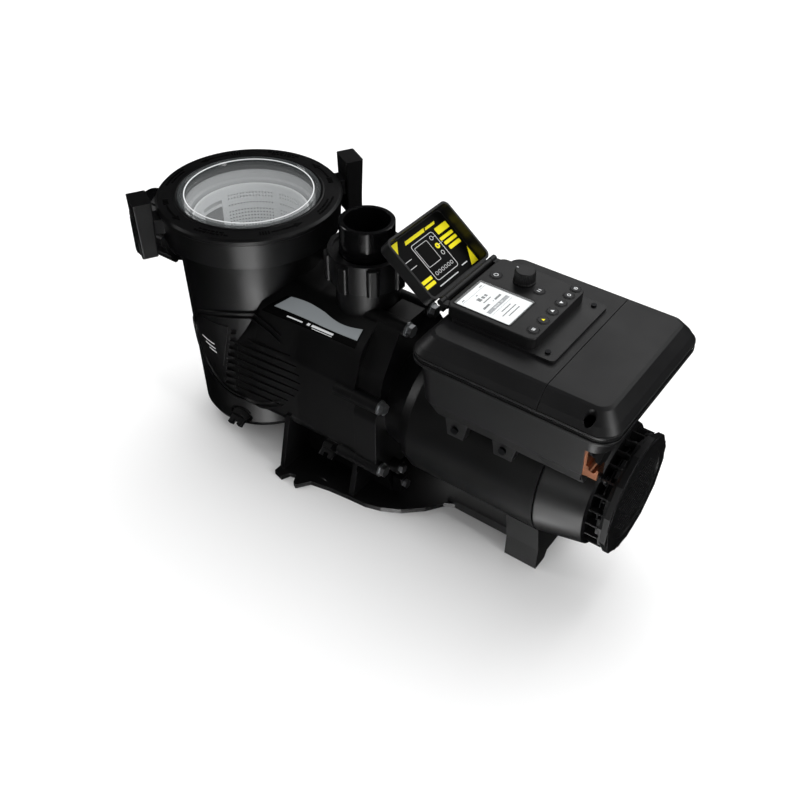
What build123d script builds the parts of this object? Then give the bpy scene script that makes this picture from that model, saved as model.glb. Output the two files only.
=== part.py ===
from build123d import *
import math
import os

os.makedirs("parts", exist_ok=True)

# ---------------------------------------------------------------- driving dimensions (mm)
# X runs along the motor shaft (suction side -X, motor side +X), Z is up and the floor is Z = 0.
# X = 0 is the axis of the discharge union.
GAP = 0.3                       # clearance between pieces that move against each other
SHAFT_Z = 161.0                 # height of the motor shaft
PIPE_SOCKET_R = 30.3            # solvent socket for a 2 inch pipe
SPIGOT_R = 36.5                 # outside of the tailpieces, a 2 1/2 inch spigot

POT_X = -204.0                  # strainer pot axis
POT_FLOOR_Z = 20.0
POT_BASE_R = 98.0
POT_TOP_R = 105.5
POT_WALL = 6.0
COLLAR_R = 113.0
COLLAR_Z = 336.0
POT_RIM_Z = 359.5
BASKET_LEDGE_Z = 318.0

RING_R = 128.0                  # lock ring
RING_SKIRT_R = 119.5            # inside of its skirt
RING_TOP_Z = 376.0
RING_SKIRT_Z = 330.0
WINDOW_R = 98.4                 # raised rim of the clear lens
LENS_TOP_Z = 378.0
HANDLE_ANGLE = -119.4           # direction of the front handle, seen from above
HANDLE_RADIUS = 150.0

SEAM_X = 44.0                   # face where the seal plate meets the body
PLATE_BACK_X = 85.0
CAVITY_R = 82.0                 # volute cavity
BOLT_PLACES = [(27.0, 284.5), (88.0, 193.0), (86.4, 76.5)]    # one side, (y, z)

DISCHARGE_NECK_Z = 341.0        # seats of the two unions
DISCHARGE_TOP_Z = 404.0
SUCTION_Z = 270.0
SUCTION_NECK_X = -358.0
TAIL_LENGTH = DISCHARGE_TOP_Z - DISCHARGE_NECK_Z
NECK_R = 46.0
NUT_R = 55.0
NUT_HEIGHT = 42.0

MOTOR_R = 95.0                  # motor frame
MOTOR_FRONT_X = 112.0
BELL_X = 323.0
BELL_END_X = 388.0
BELL_END_R = 84.0
FAN_PLATE_X = 404.0
FAN_PLATE_BACK_X = 418.0
FAN_PLATE_R = 82.0
SHAFT_R = 8.0
FOOT_X = (273.0, 322.0)
FOOT_HALF_WIDTH = 54.0

BOX_X = (147.0, 414.0)          # drive box at its lip
BOX_HALF_WIDTH = 119.0
LIP_Z = 331.0
LID_TOP_Z = 360.0
COVER_SEAM_X = 322.0
TRAY_END_X = 382.0              # end wall of the tray under its flange
TRAY_FLANGE_Z = 303.0

PANEL_X = (163.0, 282.0)        # controller housing
PANEL_HALF_WIDTH = 63.0
PANEL_TOP_Z = 378.0
HINGE_X = 154.0
HINGE_Z = 375.0
COVER_OPEN = 143.0              # flip cover angle from closed to the open rest position
COVER_LENGTH = 96.0
COVER_DEPTH = 19.0

SHAFT_AXIS = Axis((0, 0, SHAFT_Z), (1, 0, 0))
SHAFT_SIDE = Plane(origin=(0, 0, SHAFT_Z), x_dir=(1, 0, 0), z_dir=(0, -1, 0))


def across(x, z=0.0):
    """Plane square to the shaft at x: its own x runs along +Y and its own y along +Z."""
    return Plane(origin=(x, 0, z), x_dir=(0, 1, 0), z_dir=(1, 0, 0))


def save(piece, name):
    piece.part.label = name
    export_step(piece.part, f"parts/{name}.step")


def turned(side, axis, outline):
    """Solid of revolution of one closed outline, drawn on the plane side."""
    with BuildPart() as piece:
        with BuildSketch(side):
            with BuildLine():
                Polyline(*outline, close=True)
            make_face()
        revolve(axis=axis)
    return piece


def on_shaft(*outline):
    """Piece turned about the shaft; the outline is (x, radius)."""
    return turned(SHAFT_SIDE, SHAFT_AXIS, outline)


def upright(x, y, *outline):
    """Piece turned about a vertical line at (x, y); the outline is (radius, z)."""
    side = Plane(origin=(x, y, 0), x_dir=(1, 0, 0), z_dir=(0, -1, 0))
    return turned(side, Axis((x, y, 0), (0, 0, 1)), outline)


def rotated_group(count, start=0.0):
    """Unit directions round the shaft, evenly spaced."""
    angles = [math.radians(start + 360 / count * number) for number in range(count)]
    return [(0, math.cos(angle), math.sin(angle)) for angle in angles]


# ---------------------------------------------------------------- pump body
def both_halves(half):
    """Corner points of a symmetric section from its right half, as (y, z)."""
    return half + [(-y, z) for y, z in reversed(half)]


BODY_HALF = [(58, 54), (90, 84), (90, 205), (72, 257), (34, 285)]
NEAR_POT_HALF = [(62, 56), (95, 84), (95, 208), (74, 264), (34, 291)]
IN_POT_HALF = [(60, 64), (97, 92), (97, 170), (74, 205), (34, 226)]
PLATE_HALF = [(64, 50), (92, 84), (93, 165), (75, 230), (36, 290)]
SECTION_FILLET = 26.0
PLATE_FILLET = 22.0
EYE_WALL_X = -34.0
EYE_R = 38.4
BOSS_X = 13.0
BOSS_R = 10.5                   # bosses round the seal plate bolts
BODY_STATIONS = [(POT_X, IN_POT_HALF), (-128.0, NEAR_POT_HALF), (-60.0, BODY_HALF), (SEAM_X, BODY_HALF)]
WATERWAY_STATIONS = [(POT_X + 80, NEAR_POT_HALF), (-60.0, BODY_HALF), (EYE_WALL_X, BODY_HALF)]


def housing_solid(stations, inset=0.0):
    """Rounded sections along the shaft joined in one solid, each drawn in by the inset."""
    with BuildPart() as housing:
        for x, half in stations:
            with BuildSketch(across(x)) as section:
                with BuildLine():
                    Polyline(*both_halves(half), close=True)
                make_face()
                fillet(section.vertices(), SECTION_FILLET)
                if inset > 0:
                    offset(amount=-inset, mode=Mode.REPLACE)
        loft(ruled=True)
    return housing.part


def bolt_places():
    return [(side * y, z) for y, z in BOLT_PLACES for side in (-1, 1)]


def pot_solid():
    return upright(
        POT_X, 0,
        (0, POT_FLOOR_Z), (POT_BASE_R - 14, POT_FLOOR_Z), (POT_BASE_R - 5, POT_FLOOR_Z + 4),
        (POT_BASE_R, POT_FLOOR_Z + 14), (POT_TOP_R, COLLAR_Z - 8), (COLLAR_R, COLLAR_Z),
        (COLLAR_R, POT_RIM_Z), (0, POT_RIM_Z),
    ).part


def flank_grooves():
    """Row of shallow tapering grooves on both flanks, on a plane that leans with the wall."""
    with BuildPart() as grooves:
        for side in (-1, 1):
            flank = Plane(
                origin=(-128, side * 95, 0), x_dir=(1, -side * FLANK_SLOPE, 0), z_dir=(FLANK_SLOPE, side, 0),
            )
            drop = 1 if flank.y_dir.Z > 0 else -1
            for number in range(GROOVES):
                middle_z = drop * (GROOVE_Z + number * GROOVE_PITCH)
                left = -172 - 0.23 * (GROOVES - 1 - number) * GROOVE_PITCH + 128
                right = -52 - 2.2 * (number - 4.4) ** 2 + 128
                with BuildSketch(flank.offset(-GROOVE_DEPTH)):
                    with BuildLine():
                        Polyline(
                            (left, middle_z - 4.7), (left, middle_z + 4.7),
                            (right, middle_z + 1.0), (right, middle_z - 1.0), close=True,
                        )
                    make_face()
                extrude(amount=GROOVE_DEPTH + 12)
    return grooves.part


def neck_groove(plane):
    """O-ring groove in the face of a union neck."""
    with BuildPart() as groove:
        with BuildSketch(plane.offset(-2.5)):
            Circle(41.0)
            Circle(36.0, mode=Mode.SUBTRACT)
        extrude(amount=5)
    return groove.part


def drain_boss(seat):
    with BuildPart() as boss:
        with BuildSketch(seat):
            Circle(15.0)
        extrude(amount=-DRAIN_DEPTH - 4)
    return boss.part


def drain_hole(seat):
    """Tapped hole of a drain plug, with the boss faced off round it."""
    with BuildPart() as hole:
        with BuildSketch(seat):
            Circle(DRAIN_THREAD_R + 0.05)
        extrude(amount=-DRAIN_DEPTH)
        with BuildSketch(seat):
            Circle(17.5)
        extrude(amount=40)
    return hole.part


def make_body():
    """Strainer pot and volute housing, which meet on the wall of the pot."""
    housing = housing_solid(BODY_STATIONS)
    waterway = housing_solid(WATERWAY_STATIONS, POT_WALL + 1)
    pot_drain, volute_drain = drain_seats()
    pot_hollow = upright(
        POT_X, 0,
        (0, POT_FLOOR_Z + POT_WALL), (POT_BASE_R - 16, POT_FLOOR_Z + POT_WALL),
        (POT_BASE_R - POT_WALL, POT_FLOOR_Z + 20), (93.5, BASKET_LEDGE_Z - 3),
        (98.0, BASKET_LEDGE_Z), (98.0, POT_RIM_Z + 1), (0, POT_RIM_Z + 1),
    ).part
    with BuildPart() as pot_outside:
        add(pot_solid())
        with BuildSketch(across(SUCTION_NECK_X, SUCTION_Z)):
            Circle(NECK_R)
        extrude(amount=90)
        add(drain_boss(pot_drain))
    with BuildPart() as pot:
        add(pot_outside.part)
        add(pot_hollow, mode=Mode.SUBTRACT)
        add(waterway, mode=Mode.SUBTRACT)
        with BuildSketch(across(SUCTION_NECK_X - 1, SUCTION_Z)):
            Circle(30)
        extrude(amount=80, mode=Mode.SUBTRACT)
        with BuildSketch(Plane(origin=(POT_X, 0, POT_RIM_Z - 3))):
            Circle(109.0)
            Circle(103.0, mode=Mode.SUBTRACT)
        extrude(amount=10, mode=Mode.SUBTRACT)
        suction_face = Plane(origin=(SUCTION_NECK_X, 0, SUCTION_Z), x_dir=(0, 1, 0), z_dir=(-1, 0, 0))
        add(neck_groove(suction_face), mode=Mode.SUBTRACT)
        add(drain_hole(pot_drain), mode=Mode.SUBTRACT)
        add(flank_grooves(), mode=Mode.SUBTRACT)
    save(pot, "strainer_pot")
    with BuildPart() as volute:
        add(housing)
        # discharge neck with a flared root
        with BuildSketch(Plane.XY.offset(SHAFT_Z + 60)):
            Circle(SEAM_X - 1)
        extrude(amount=DISCHARGE_NECK_Z - SHAFT_Z - 60)
        with BuildSketch(Plane.XY.offset(DISCHARGE_NECK_Z - 22)):
            Circle(NECK_R)
        extrude(amount=22)
        # front halves of the bolt bosses
        with BuildSketch(across(BOSS_X)):
            with Locations(*bolt_places()):
                Circle(BOSS_R)
        extrude(amount=SEAM_X - BOSS_X)
        add(drain_boss(volute_drain))
        add(pot_outside.part, mode=Mode.SUBTRACT)
        # waterway from the pot to the impeller eye, volute cavity and discharge way
        add(waterway, mode=Mode.SUBTRACT)
        with BuildSketch(across(EYE_WALL_X - 20, SHAFT_Z)):
            Circle(EYE_R)
        extrude(amount=40, mode=Mode.SUBTRACT)
        with BuildSketch(across(-26, SHAFT_Z)):
            Circle(CAVITY_R)
        extrude(amount=SEAM_X + 26, mode=Mode.SUBTRACT)
        with BuildSketch(Plane.XY.offset(SHAFT_Z + 40)):
            Circle(27)
        extrude(amount=DISCHARGE_NECK_Z, mode=Mode.SUBTRACT)
        with BuildSketch(across(16)):
            with Locations(*bolt_places()):
                Circle(5.0)
        extrude(amount=SEAM_X, mode=Mode.SUBTRACT)
        add(neck_groove(Plane.XY.offset(DISCHARGE_NECK_Z)), mode=Mode.SUBTRACT)
        add(drain_hole(volute_drain), mode=Mode.SUBTRACT)
        add(flank_grooves(), mode=Mode.SUBTRACT)
    save(volute, "volute_housing")


DRAIN_THREAD_R = 9.0
DRAIN_DEPTH = 22.0
GROOVES = 8
GROOVE_Z = 108.0                # lowest groove
GROOVE_PITCH = 14.3
GROOVE_DEPTH = 3.6
FLANK_SLOPE = 0.0735


def drain_seats():
    """Outward-facing planes of the two drain bosses: the pot's, then the volute's."""
    pot_drain = Plane(origin=(POT_X + 29, -90, 48), x_dir=(1, 0, 0), z_dir=(0.1, -0.93, -0.34))
    volute_drain = Plane(origin=(-14, -70, 58), x_dir=(1, 0, 0), z_dir=(0, -0.8, -0.6))
    return [pot_drain, volute_drain]


# ---------------------------------------------------------------- seal plate and motor bracket
def make_seal_plate():
    """Rear wall of the volute with the rear halves of the bolt bosses and the cone that holds the motor."""
    with BuildPart() as plate:
        with BuildSketch(across(SEAM_X)) as section:
            with BuildLine():
                Polyline(*both_halves(PLATE_HALF), close=True)
            make_face()
            fillet(section.vertices(), PLATE_FILLET)
        extrude(amount=PLATE_BACK_X - SEAM_X - 4)
        with BuildSketch(across(SEAM_X)):
            with Locations(*bolt_places()):
                Circle(BOSS_R)
        extrude(amount=PLATE_BACK_X - SEAM_X)
        with BuildSketch(across(PLATE_BACK_X - 8)):
            with Locations(*flange_bolt_places()[:2]):
                Circle(10)
        extrude(amount=FLANGE_BACK_X - PLATE_BACK_X + 8)
        with BuildSketch(across(PLATE_BACK_X - 6, SHAFT_Z)):
            Circle(72)
        with BuildSketch(across(MOTOR_FRONT_X, SHAFT_Z)):
            Circle(80)
        loft()
        # hollow behind the wet wall, seal housing and bearing clearance
        with BuildSketch(across(SEAM_X + 14, SHAFT_Z)):
            Circle(64)
            Circle(34, mode=Mode.SUBTRACT)
        extrude(amount=80, mode=Mode.SUBTRACT)
        with BuildSketch(across(SEAM_X - 1, SHAFT_Z)):
            Circle(20)
        extrude(amount=20, mode=Mode.SUBTRACT)
        with BuildSketch(across(SEAM_X - 1, SHAFT_Z)):
            Circle(11)
        extrude(amount=90, mode=Mode.SUBTRACT)
        with BuildSketch(across(SEAM_X - 1)):
            with Locations(*bolt_places()):
                Circle(5.0)
        extrude(amount=60, mode=Mode.SUBTRACT)
        with BuildSketch(across(FLANGE_BACK_X - 14)):
            with Locations(*flange_bolt_places()):
                Circle(4.0)
        extrude(amount=20, mode=Mode.SUBTRACT)
        with BuildSketch(across(SEAM_X, SHAFT_Z)):
            Circle(87.6)
            Circle(83.4, mode=Mode.SUBTRACT)
        extrude(amount=2.4, mode=Mode.SUBTRACT)
    save(plate, "seal_plate")


FLANGE_BOLT = (54.0, 60.0)
BASE_BOLT = (44.0, 22.0)
FLANGE_BACK_X = 97.0            # rear face of the flange that the short bolts clamp


def flange_bolt_places():
    """Short bolts low on both sides: two in the seal plate, then two in the base, as (y, z)."""
    return [(side * y, z) for y, z in (FLANGE_BOLT, BASE_BOLT) for side in (-1, 1)]


def make_bolts():
    """Long flanged hexagon bolts through the seal plate, and short ones that hold the motor and the base."""
    with BuildPart() as bolts:
        with BuildSketch(across(PLATE_BACK_X)):
            with Locations(*bolt_places()):
                Circle(10.5)
        extrude(amount=2)
        with BuildSketch(across(PLATE_BACK_X + 2)):
            with Locations(*bolt_places()):
                RegularPolygon(8.6, 6)
        extrude(amount=7.5)
        with BuildSketch(across(22)):
            with Locations(*bolt_places()):
                Circle(4.9)
        extrude(amount=PLATE_BACK_X - 22)
    save(bolts, "body_bolts")
    with BuildPart() as short_bolts:
        with BuildSketch(across(FLANGE_BACK_X)):
            with Locations(*flange_bolt_places()):
                RegularPolygon(7.0, 6)
        extrude(amount=5.5)
        with BuildSketch(across(FLANGE_BACK_X - 12)):
            with Locations(*flange_bolt_places()):
                Circle(3.9)
        extrude(amount=12)
        with BuildSketch(across(BELL_END_X, SHAFT_Z)):
            with PolarLocations(54, 4, start_angle=45):
                Circle(6)
        extrude(amount=2.5)
    save(short_bolts, "motor_bolts")


def o_ring(plane, radius, section):
    """Round-section ring lying on the plane."""
    with BuildPart() as ring:
        with BuildSketch(Plane(origin=plane.origin, x_dir=plane.x_dir, z_dir=plane.y_dir)):
            with Locations((radius, 0)):
                Circle(section)
        revolve(axis=Axis(plane.origin, plane.z_dir))
    return ring


def make_seals():
    with BuildPart() as rings:
        add(o_ring(Plane(origin=(POT_X, 0, POT_RIM_Z - 1.3)), 106.0, 1.7).part)
        add(o_ring(Plane(origin=(0, 0, DISCHARGE_NECK_Z - 1.2)), 38.5, 1.3).part)
        add(o_ring(across(SUCTION_NECK_X + 1.2, SUCTION_Z), 38.5, 1.3).part)
        add(o_ring(across(SEAM_X + 1.2, SHAFT_Z), 85.5, 1.1).part)
        add(o_ring(across(-30, SHAFT_Z), 37.2, 1.15).part)
        for seat in drain_seats():
            add(o_ring(seat.offset(1.2), 11.5, 1.2).part)
    save(rings, "o_rings")


# ---------------------------------------------------------------- strainer lid and basket
def make_lock_ring():
    with BuildPart() as ring:
        with BuildSketch(Plane(origin=(POT_X, 0, 0), x_dir=(1, 0, 0), z_dir=(0, -1, 0))):
            with BuildLine():
                Polyline(
                    (WINDOW_R + 0.6, RING_TOP_Z - 8), (WINDOW_R + 0.6, RING_TOP_Z - 1.5),
                    (WINDOW_R + 2, RING_TOP_Z), (RING_R - 3, RING_TOP_Z), (RING_R, RING_TOP_Z - 3),
                    (RING_R, RING_TOP_Z - 8), (RING_R - 1.5, RING_TOP_Z - 9.5), (RING_R - 3.5, RING_SKIRT_Z),
                    (RING_SKIRT_R, RING_SKIRT_Z), (RING_SKIRT_R, RING_TOP_Z - 8), close=True,
                )
            make_face()
        revolve(axis=Axis((POT_X, 0, 0), (0, 0, 1)))
        for turn in (0, 180):
            direction = math.radians(HANDLE_ANGLE + turn)
            radial = (math.cos(direction), math.sin(direction), 0)
            place = (POT_X + HANDLE_RADIUS * radial[0], HANDLE_RADIUS * radial[1], 0)
            # upright grip block, its stepped outer pads, and the arm that joins it to the rim
            with BuildSketch(Plane(origin=(place[0], place[1], 316), x_dir=radial, z_dir=(0, 0, 1))):
                RectangleRounded(22, 32, 2.5)
            with BuildSketch(Plane(origin=(place[0], place[1], 398.5), x_dir=radial, z_dir=(0, 0, 1))):
                RectangleRounded(26, 38, 2.5)
            loft()
            for step in range(3):
                pad_place = (place[0] + (10 + step) * radial[0], place[1] + (10 + step) * radial[1], 322)
                with BuildSketch(Plane(origin=pad_place, x_dir=radial, z_dir=(0, 0, 1))):
                    RectangleRounded(6, 26 - 7 * step, 1.5)
                extrude(amount=62 - 6 * step)
            arm_place = (place[0] - 16 * radial[0], place[1] - 16 * radial[1], 347)
            with BuildSketch(Plane(origin=arm_place, x_dir=radial, z_dir=(0, 0, 1))):
                Rectangle(20, 26)
            extrude(amount=22)
    save(ring, "lock_ring")


def make_lens():
    lens = upright(
        POT_X, 0,
        (0, 362), (90, 362), (92, POT_RIM_Z + 0.5), (112, POT_RIM_Z + 0.5), (112, RING_TOP_Z - 8.5),
        (WINDOW_R, RING_TOP_Z - 8.5), (WINDOW_R, LENS_TOP_Z - 1), (WINDOW_R - 1, LENS_TOP_Z),
        (WINDOW_R - 4, LENS_TOP_Z), (WINDOW_R - 5.5, LENS_TOP_Z - 1.5), (90, 368), (86, 366.5), (0, 366.5),
    )
    save(lens, "lid_lens")


def make_basket():
    with BuildPart() as basket:
        with BuildSketch(Plane(origin=(POT_X, 0, 0), x_dir=(1, 0, 0), z_dir=(0, -1, 0))):
            with BuildLine():
                Polyline(
                    (0, 58), (81, 58), (90.5, BASKET_LEDGE_Z - 4), (90.5, BASKET_LEDGE_Z + GAP),
                    (97, BASKET_LEDGE_Z + GAP), (97, BASKET_LEDGE_Z + 5), (87.5, BASKET_LEDGE_Z + 5),
                    (78, 61), (0, 61), close=True,
                )
            make_face()
        revolve(axis=Axis((POT_X, 0, 0), (0, 0, 1)))
        # inlet window facing the suction port
        with BuildSketch(across(POT_X - 100, SUCTION_Z)):
            RectangleRounded(62, 74, 10)
        extrude(amount=40, mode=Mode.SUBTRACT)
    save(basket, "basket")


# ---------------------------------------------------------------- unions
def tailpiece(near):
    """Union tailpiece; near is the seat height and it grows along +Z at the origin."""
    return [
        (26, near + GAP), (45, near + GAP), (45, near + 8), (41, near + 12), (SPIGOT_R, near + 13),
        (SPIGOT_R, near + TAIL_LENGTH - 1), (SPIGOT_R - 1, near + TAIL_LENGTH),
        (PIPE_SOCKET_R, near + TAIL_LENGTH), (PIPE_SOCKET_R, near + TAIL_LENGTH - 40),
        (26, near + TAIL_LENGTH - 40),
    ]


def nut_blank(plane, lip_up):
    """Lobed union nut whose lower face lies on the plane."""
    with BuildPart() as nut:
        with BuildSketch(plane):
            Circle(NUT_R - 3)
        extrude(amount=NUT_HEIGHT)
        with BuildSketch(plane):
            with PolarLocations(NUT_R - 13, 8):
                RectangleRounded(30, 17, 5)
        extrude(amount=NUT_HEIGHT - 4)
        with BuildSketch(plane):
            Circle(NECK_R + GAP)
        extrude(amount=lip_up, mode=Mode.SUBTRACT)
        with BuildSketch(plane):
            Circle(SPIGOT_R + 1.2)
        extrude(amount=NUT_HEIGHT, mode=Mode.SUBTRACT)
        with BuildSketch(plane.offset(NUT_HEIGHT - 5)):
            Circle(NUT_R - 9)
        extrude(amount=6, mode=Mode.SUBTRACT)
    return nut


def make_unions():
    nut_low = DISCHARGE_NECK_Z - 19
    lip_up = 19 + 13 + GAP
    suction_axis = Axis((0, 0, SUCTION_Z), (1, 0, 0))
    suction_side = Plane(origin=(0, 0, SUCTION_Z), x_dir=(0, 0, 1), z_dir=(0, 1, 0))
    suction_outline = [(radius, -along) for radius, along in tailpiece(-SUCTION_NECK_X)]
    with BuildPart() as tails:
        add(upright(0, 0, *tailpiece(DISCHARGE_NECK_Z)).part)
        add(turned(suction_side, suction_axis, suction_outline).part)
    save(tails, "union_tailpieces")
    save(nut_blank(Plane.XY.offset(nut_low), lip_up), "discharge_union_nut")
    nut_plane = Plane(origin=(SUCTION_NECK_X + 19, 0, SUCTION_Z), x_dir=(0, 1, 0), z_dir=(-1, 0, 0))
    save(nut_blank(nut_plane, lip_up), "suction_union_nut")


# ---------------------------------------------------------------- drain plugs
def make_drain_plugs():
    for seat, name in zip(drain_seats(), ("pot_drain", "volute_drain")):
        with BuildPart() as plug:
            with BuildSketch(seat.offset(2.6)):
                RegularPolygon(15, 6)
            extrude(amount=8)
            with BuildSketch(seat.offset(10)):
                RectangleRounded(26, 8, 3)
            extrude(amount=13)
            with BuildSketch(seat.offset(17)):
                Rectangle(8, 9)
            extrude(amount=7, mode=Mode.SUBTRACT)
            with BuildSketch(seat.offset(2.6)):
                Circle(DRAIN_THREAD_R - 0.02)
            extrude(amount=-11)
        save(plug, name + "_plug")


# ---------------------------------------------------------------- base and rear foot
BASE_THICK = 8.0
BASE_EDGE = [
    (-82, -127), (-66, -131), (-60, -118), (-50, -116), (-44, -129), (-38, -132), (-24, -113),
    (6, -107), (42, -103), (67, -101), (90, -94), (116, -80), (142, -56), (158, -33), (172, -25),
]


def make_base():
    below_body = housing_solid(BODY_STATIONS)
    edge = BASE_EDGE + [(x, -y) for x, y in reversed(BASE_EDGE)]
    with BuildPart() as base:
        with BuildSketch():
            with BuildLine():
                Polyline(*edge, close=True)
            make_face()
        extrude(amount=BASE_THICK)
        # long rail under the motor with raised edges
        with BuildSketch():
            with Locations((216, 0)):
                Rectangle(114, 50)
        extrude(amount=BASE_THICK)
        for side in (-1, 1):
            with BuildSketch(Plane.XY.offset(BASE_THICK - 0.5)):
                with Locations((210, side * 22.5)):
                    Rectangle(100, 5)
            extrude(amount=7)
        # cross webs and longitudinal webs that carry the body
        for x, thick, low, high, top in ((-80, 8, 118, 96, 98), (36, 9, 101, 84, 72)):
            with BuildSketch(across(x)):
                with BuildLine():
                    Polyline((-low, 4), (-high, top), (high, top), (low, 4), close=True)
                make_face()
            extrude(amount=thick)
        for side in (-1, 1):
            with BuildSketch(Plane.XZ.offset(side * 52)):
                with BuildLine():
                    Polyline((-78, 4), (-78, 96), (60, 66), (84, 4), close=True)
                make_face()
            extrude(amount=4, both=True)
        add(below_body, mode=Mode.SUBTRACT)
        plate_hollow = Plane(origin=(SEAM_X - 0.5, 0, 0), x_dir=(0, 1, 0), z_dir=(1, 0, 0))
        with BuildSketch(plate_hollow):
            with Locations((0, 148)):
                Rectangle(230, 198)
        extrude(amount=90, mode=Mode.SUBTRACT)
        for seat in drain_seats():
            with BuildSketch(seat.offset(-28)):
                Circle(17)
            extrude(amount=60, mode=Mode.SUBTRACT)
            with BuildSketch(seat.offset(-6)):
                Circle(24)
            extrude(amount=60, mode=Mode.SUBTRACT)
        with BuildSketch(across(5)):
            with Locations(*bolt_places()):
                Circle(BOSS_R + GAP)
        extrude(amount=60, mode=Mode.SUBTRACT)
        # posts for the two short bolts at the rear
        for side in (-1, 1):
            with Locations((FLANGE_BACK_X - 7, side * BASE_BOLT[0], 18)):
                Box(14, 20, 34)
        with BuildSketch(across(FLANGE_BACK_X - 20)):
            with Locations(*flange_bolt_places()[2:]):
                Circle(4.0)
        extrude(amount=30, mode=Mode.SUBTRACT)
    save(base, "base")


def make_rear_foot():
    with BuildPart() as foot:
        with BuildSketch(across(FOOT_X[0] + 0.5)):
            with BuildLine():
                Polyline(
                    (-FOOT_HALF_WIDTH, 0), (-FOOT_HALF_WIDTH, 38), (-64, 88), (64, 88),
                    (FOOT_HALF_WIDTH, 38), (FOOT_HALF_WIDTH, 0), (30, 0), (24, 12), (-24, 12), (-30, 0),
                    close=True,
                )
            make_face()
        extrude(amount=FOOT_X[1] - FOOT_X[0])
        with BuildSketch(across(FOOT_X[0], SHAFT_Z)):
            Circle(MOTOR_R)
        extrude(amount=90, mode=Mode.SUBTRACT)
    save(foot, "rear_foot")


# ---------------------------------------------------------------- rotating group
def make_rotor():
    save(on_shaft((-8, 0), (-8, 7), (58, 7), (58, SHAFT_R), (128, SHAFT_R), (128, 12), (364, 12),
                  (364, SHAFT_R), (404, SHAFT_R), (404, 0)), "motor_shaft")
    with BuildPart() as impeller:
        add(on_shaft((8, 7), (8, 70), (11, 70), (11, 16), (36, 16), (36, 7)).part)
        add(on_shaft((-22, 28), (-22, 31), (-14, 33), (-8, 70), (-5, 70), (-11, 30), (-16, 28)).part)
        for turn in range(6):
            upright_plane = Plane(origin=(0, 0, SHAFT_Z), x_dir=(0, 1, 0), z_dir=(1, 0, 0))
            blade = upright_plane.rotated((turn * 60, 0, 0))
            with BuildSketch(Plane(origin=(-8, 0, SHAFT_Z), x_dir=blade.x_dir, z_dir=(1, 0, 0))):
                with BuildLine():
                    arc = CenterArc((30, 18), 40, 200, 110)
                    offset(arc, amount=1.4, side=Side.BOTH)
                make_face()
            extrude(amount=17)
        with BuildSketch(across(-40, SHAFT_Z)):
            Circle(90)
            Circle(70, mode=Mode.SUBTRACT)
            Circle(12)
        extrude(amount=40, mode=Mode.SUBTRACT)
        with BuildSketch(across(-1, SHAFT_Z)):
            Circle(90)
            Circle(70, mode=Mode.SUBTRACT)
            Circle(7)
        extrude(amount=40, mode=Mode.SUBTRACT)
    save(impeller, "impeller")
    save(on_shaft((-16, 0), (-16, 11), (-8, 11), (-8, 0)), "impeller_screw")
    save(on_shaft((36, 7.5), (36, 15), (43, 15), (43, 7.5)), "seal_head")
    with BuildPart() as core:
        add(on_shaft((170, 12), (170, 48), (286, 48), (286, 12)).part)
    save(core, "rotor_core")
    with BuildPart() as fan:
        hub = ((391, SHAFT_R), (391, 18), (393, 60), (395, 60), (395, 18), (403, 18), (403, SHAFT_R))
        add(on_shaft(*hub).part)
        for turn in range(9):
            angle = math.radians(turn * 40)
            radial = (0, math.cos(angle), math.sin(angle))
            middle = (395, 39 * radial[1], SHAFT_Z + 39 * radial[2])
            with BuildSketch(Plane(origin=middle, x_dir=radial, z_dir=(1, 0, 0))):
                Rectangle(42, 2.5)
            extrude(amount=9)
    save(fan, "cooling_fan")


def make_diffuser():
    with BuildPart() as diffuser:
        shell = ((-33, 33), (-33, 36), (-25, 36), (-25, 78), (20, 78), (20, 74), (-12, 74), (-19, 33))
        add(on_shaft(*shell).part)
    save(diffuser, "diffuser")
    save(on_shaft((44.5, 8.2), (44.5, 18.5), (52, 18.5), (52, 8.2)), "seal_seat")


BEARINGS = ((116.5, SHAFT_R, 26.0), (350.0, 12.0, 30.0))
BEARING_WIDTH = 11.0


def make_bearings():
    groups = {"bearing_inner_races": [], "bearing_outer_races": [], "bearing_balls": []}
    for x, bore, outside in BEARINGS:
        high = x + BEARING_WIDTH
        inner_r = bore + 4
        outer_r = outside - 4
        inner_race = on_shaft((x, bore), (x, inner_r), (high, inner_r), (high, bore))
        outer_race = on_shaft((x, outer_r), (x, outside), (high, outside), (high, outer_r))
        groups["bearing_inner_races"].append(inner_race.part)
        groups["bearing_outer_races"].append(outer_race.part)
        ball_r = (outer_r - inner_r) / 2 - 0.03
        pitch_r = (outer_r + inner_r) / 2
        with BuildPart() as balls:
            middle = Plane(origin=(x + BEARING_WIDTH / 2, 0, SHAFT_Z), x_dir=(0, 1, 0), z_dir=(1, 0, 0))
            with Locations(middle):
                with PolarLocations(pitch_r, 7):
                    Sphere(ball_r)
        groups["bearing_balls"].append(balls.part)
    for name, solids in groups.items():
        with BuildPart() as piece:
            for solid in solids:
                add(solid)
        save(piece, name)


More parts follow.
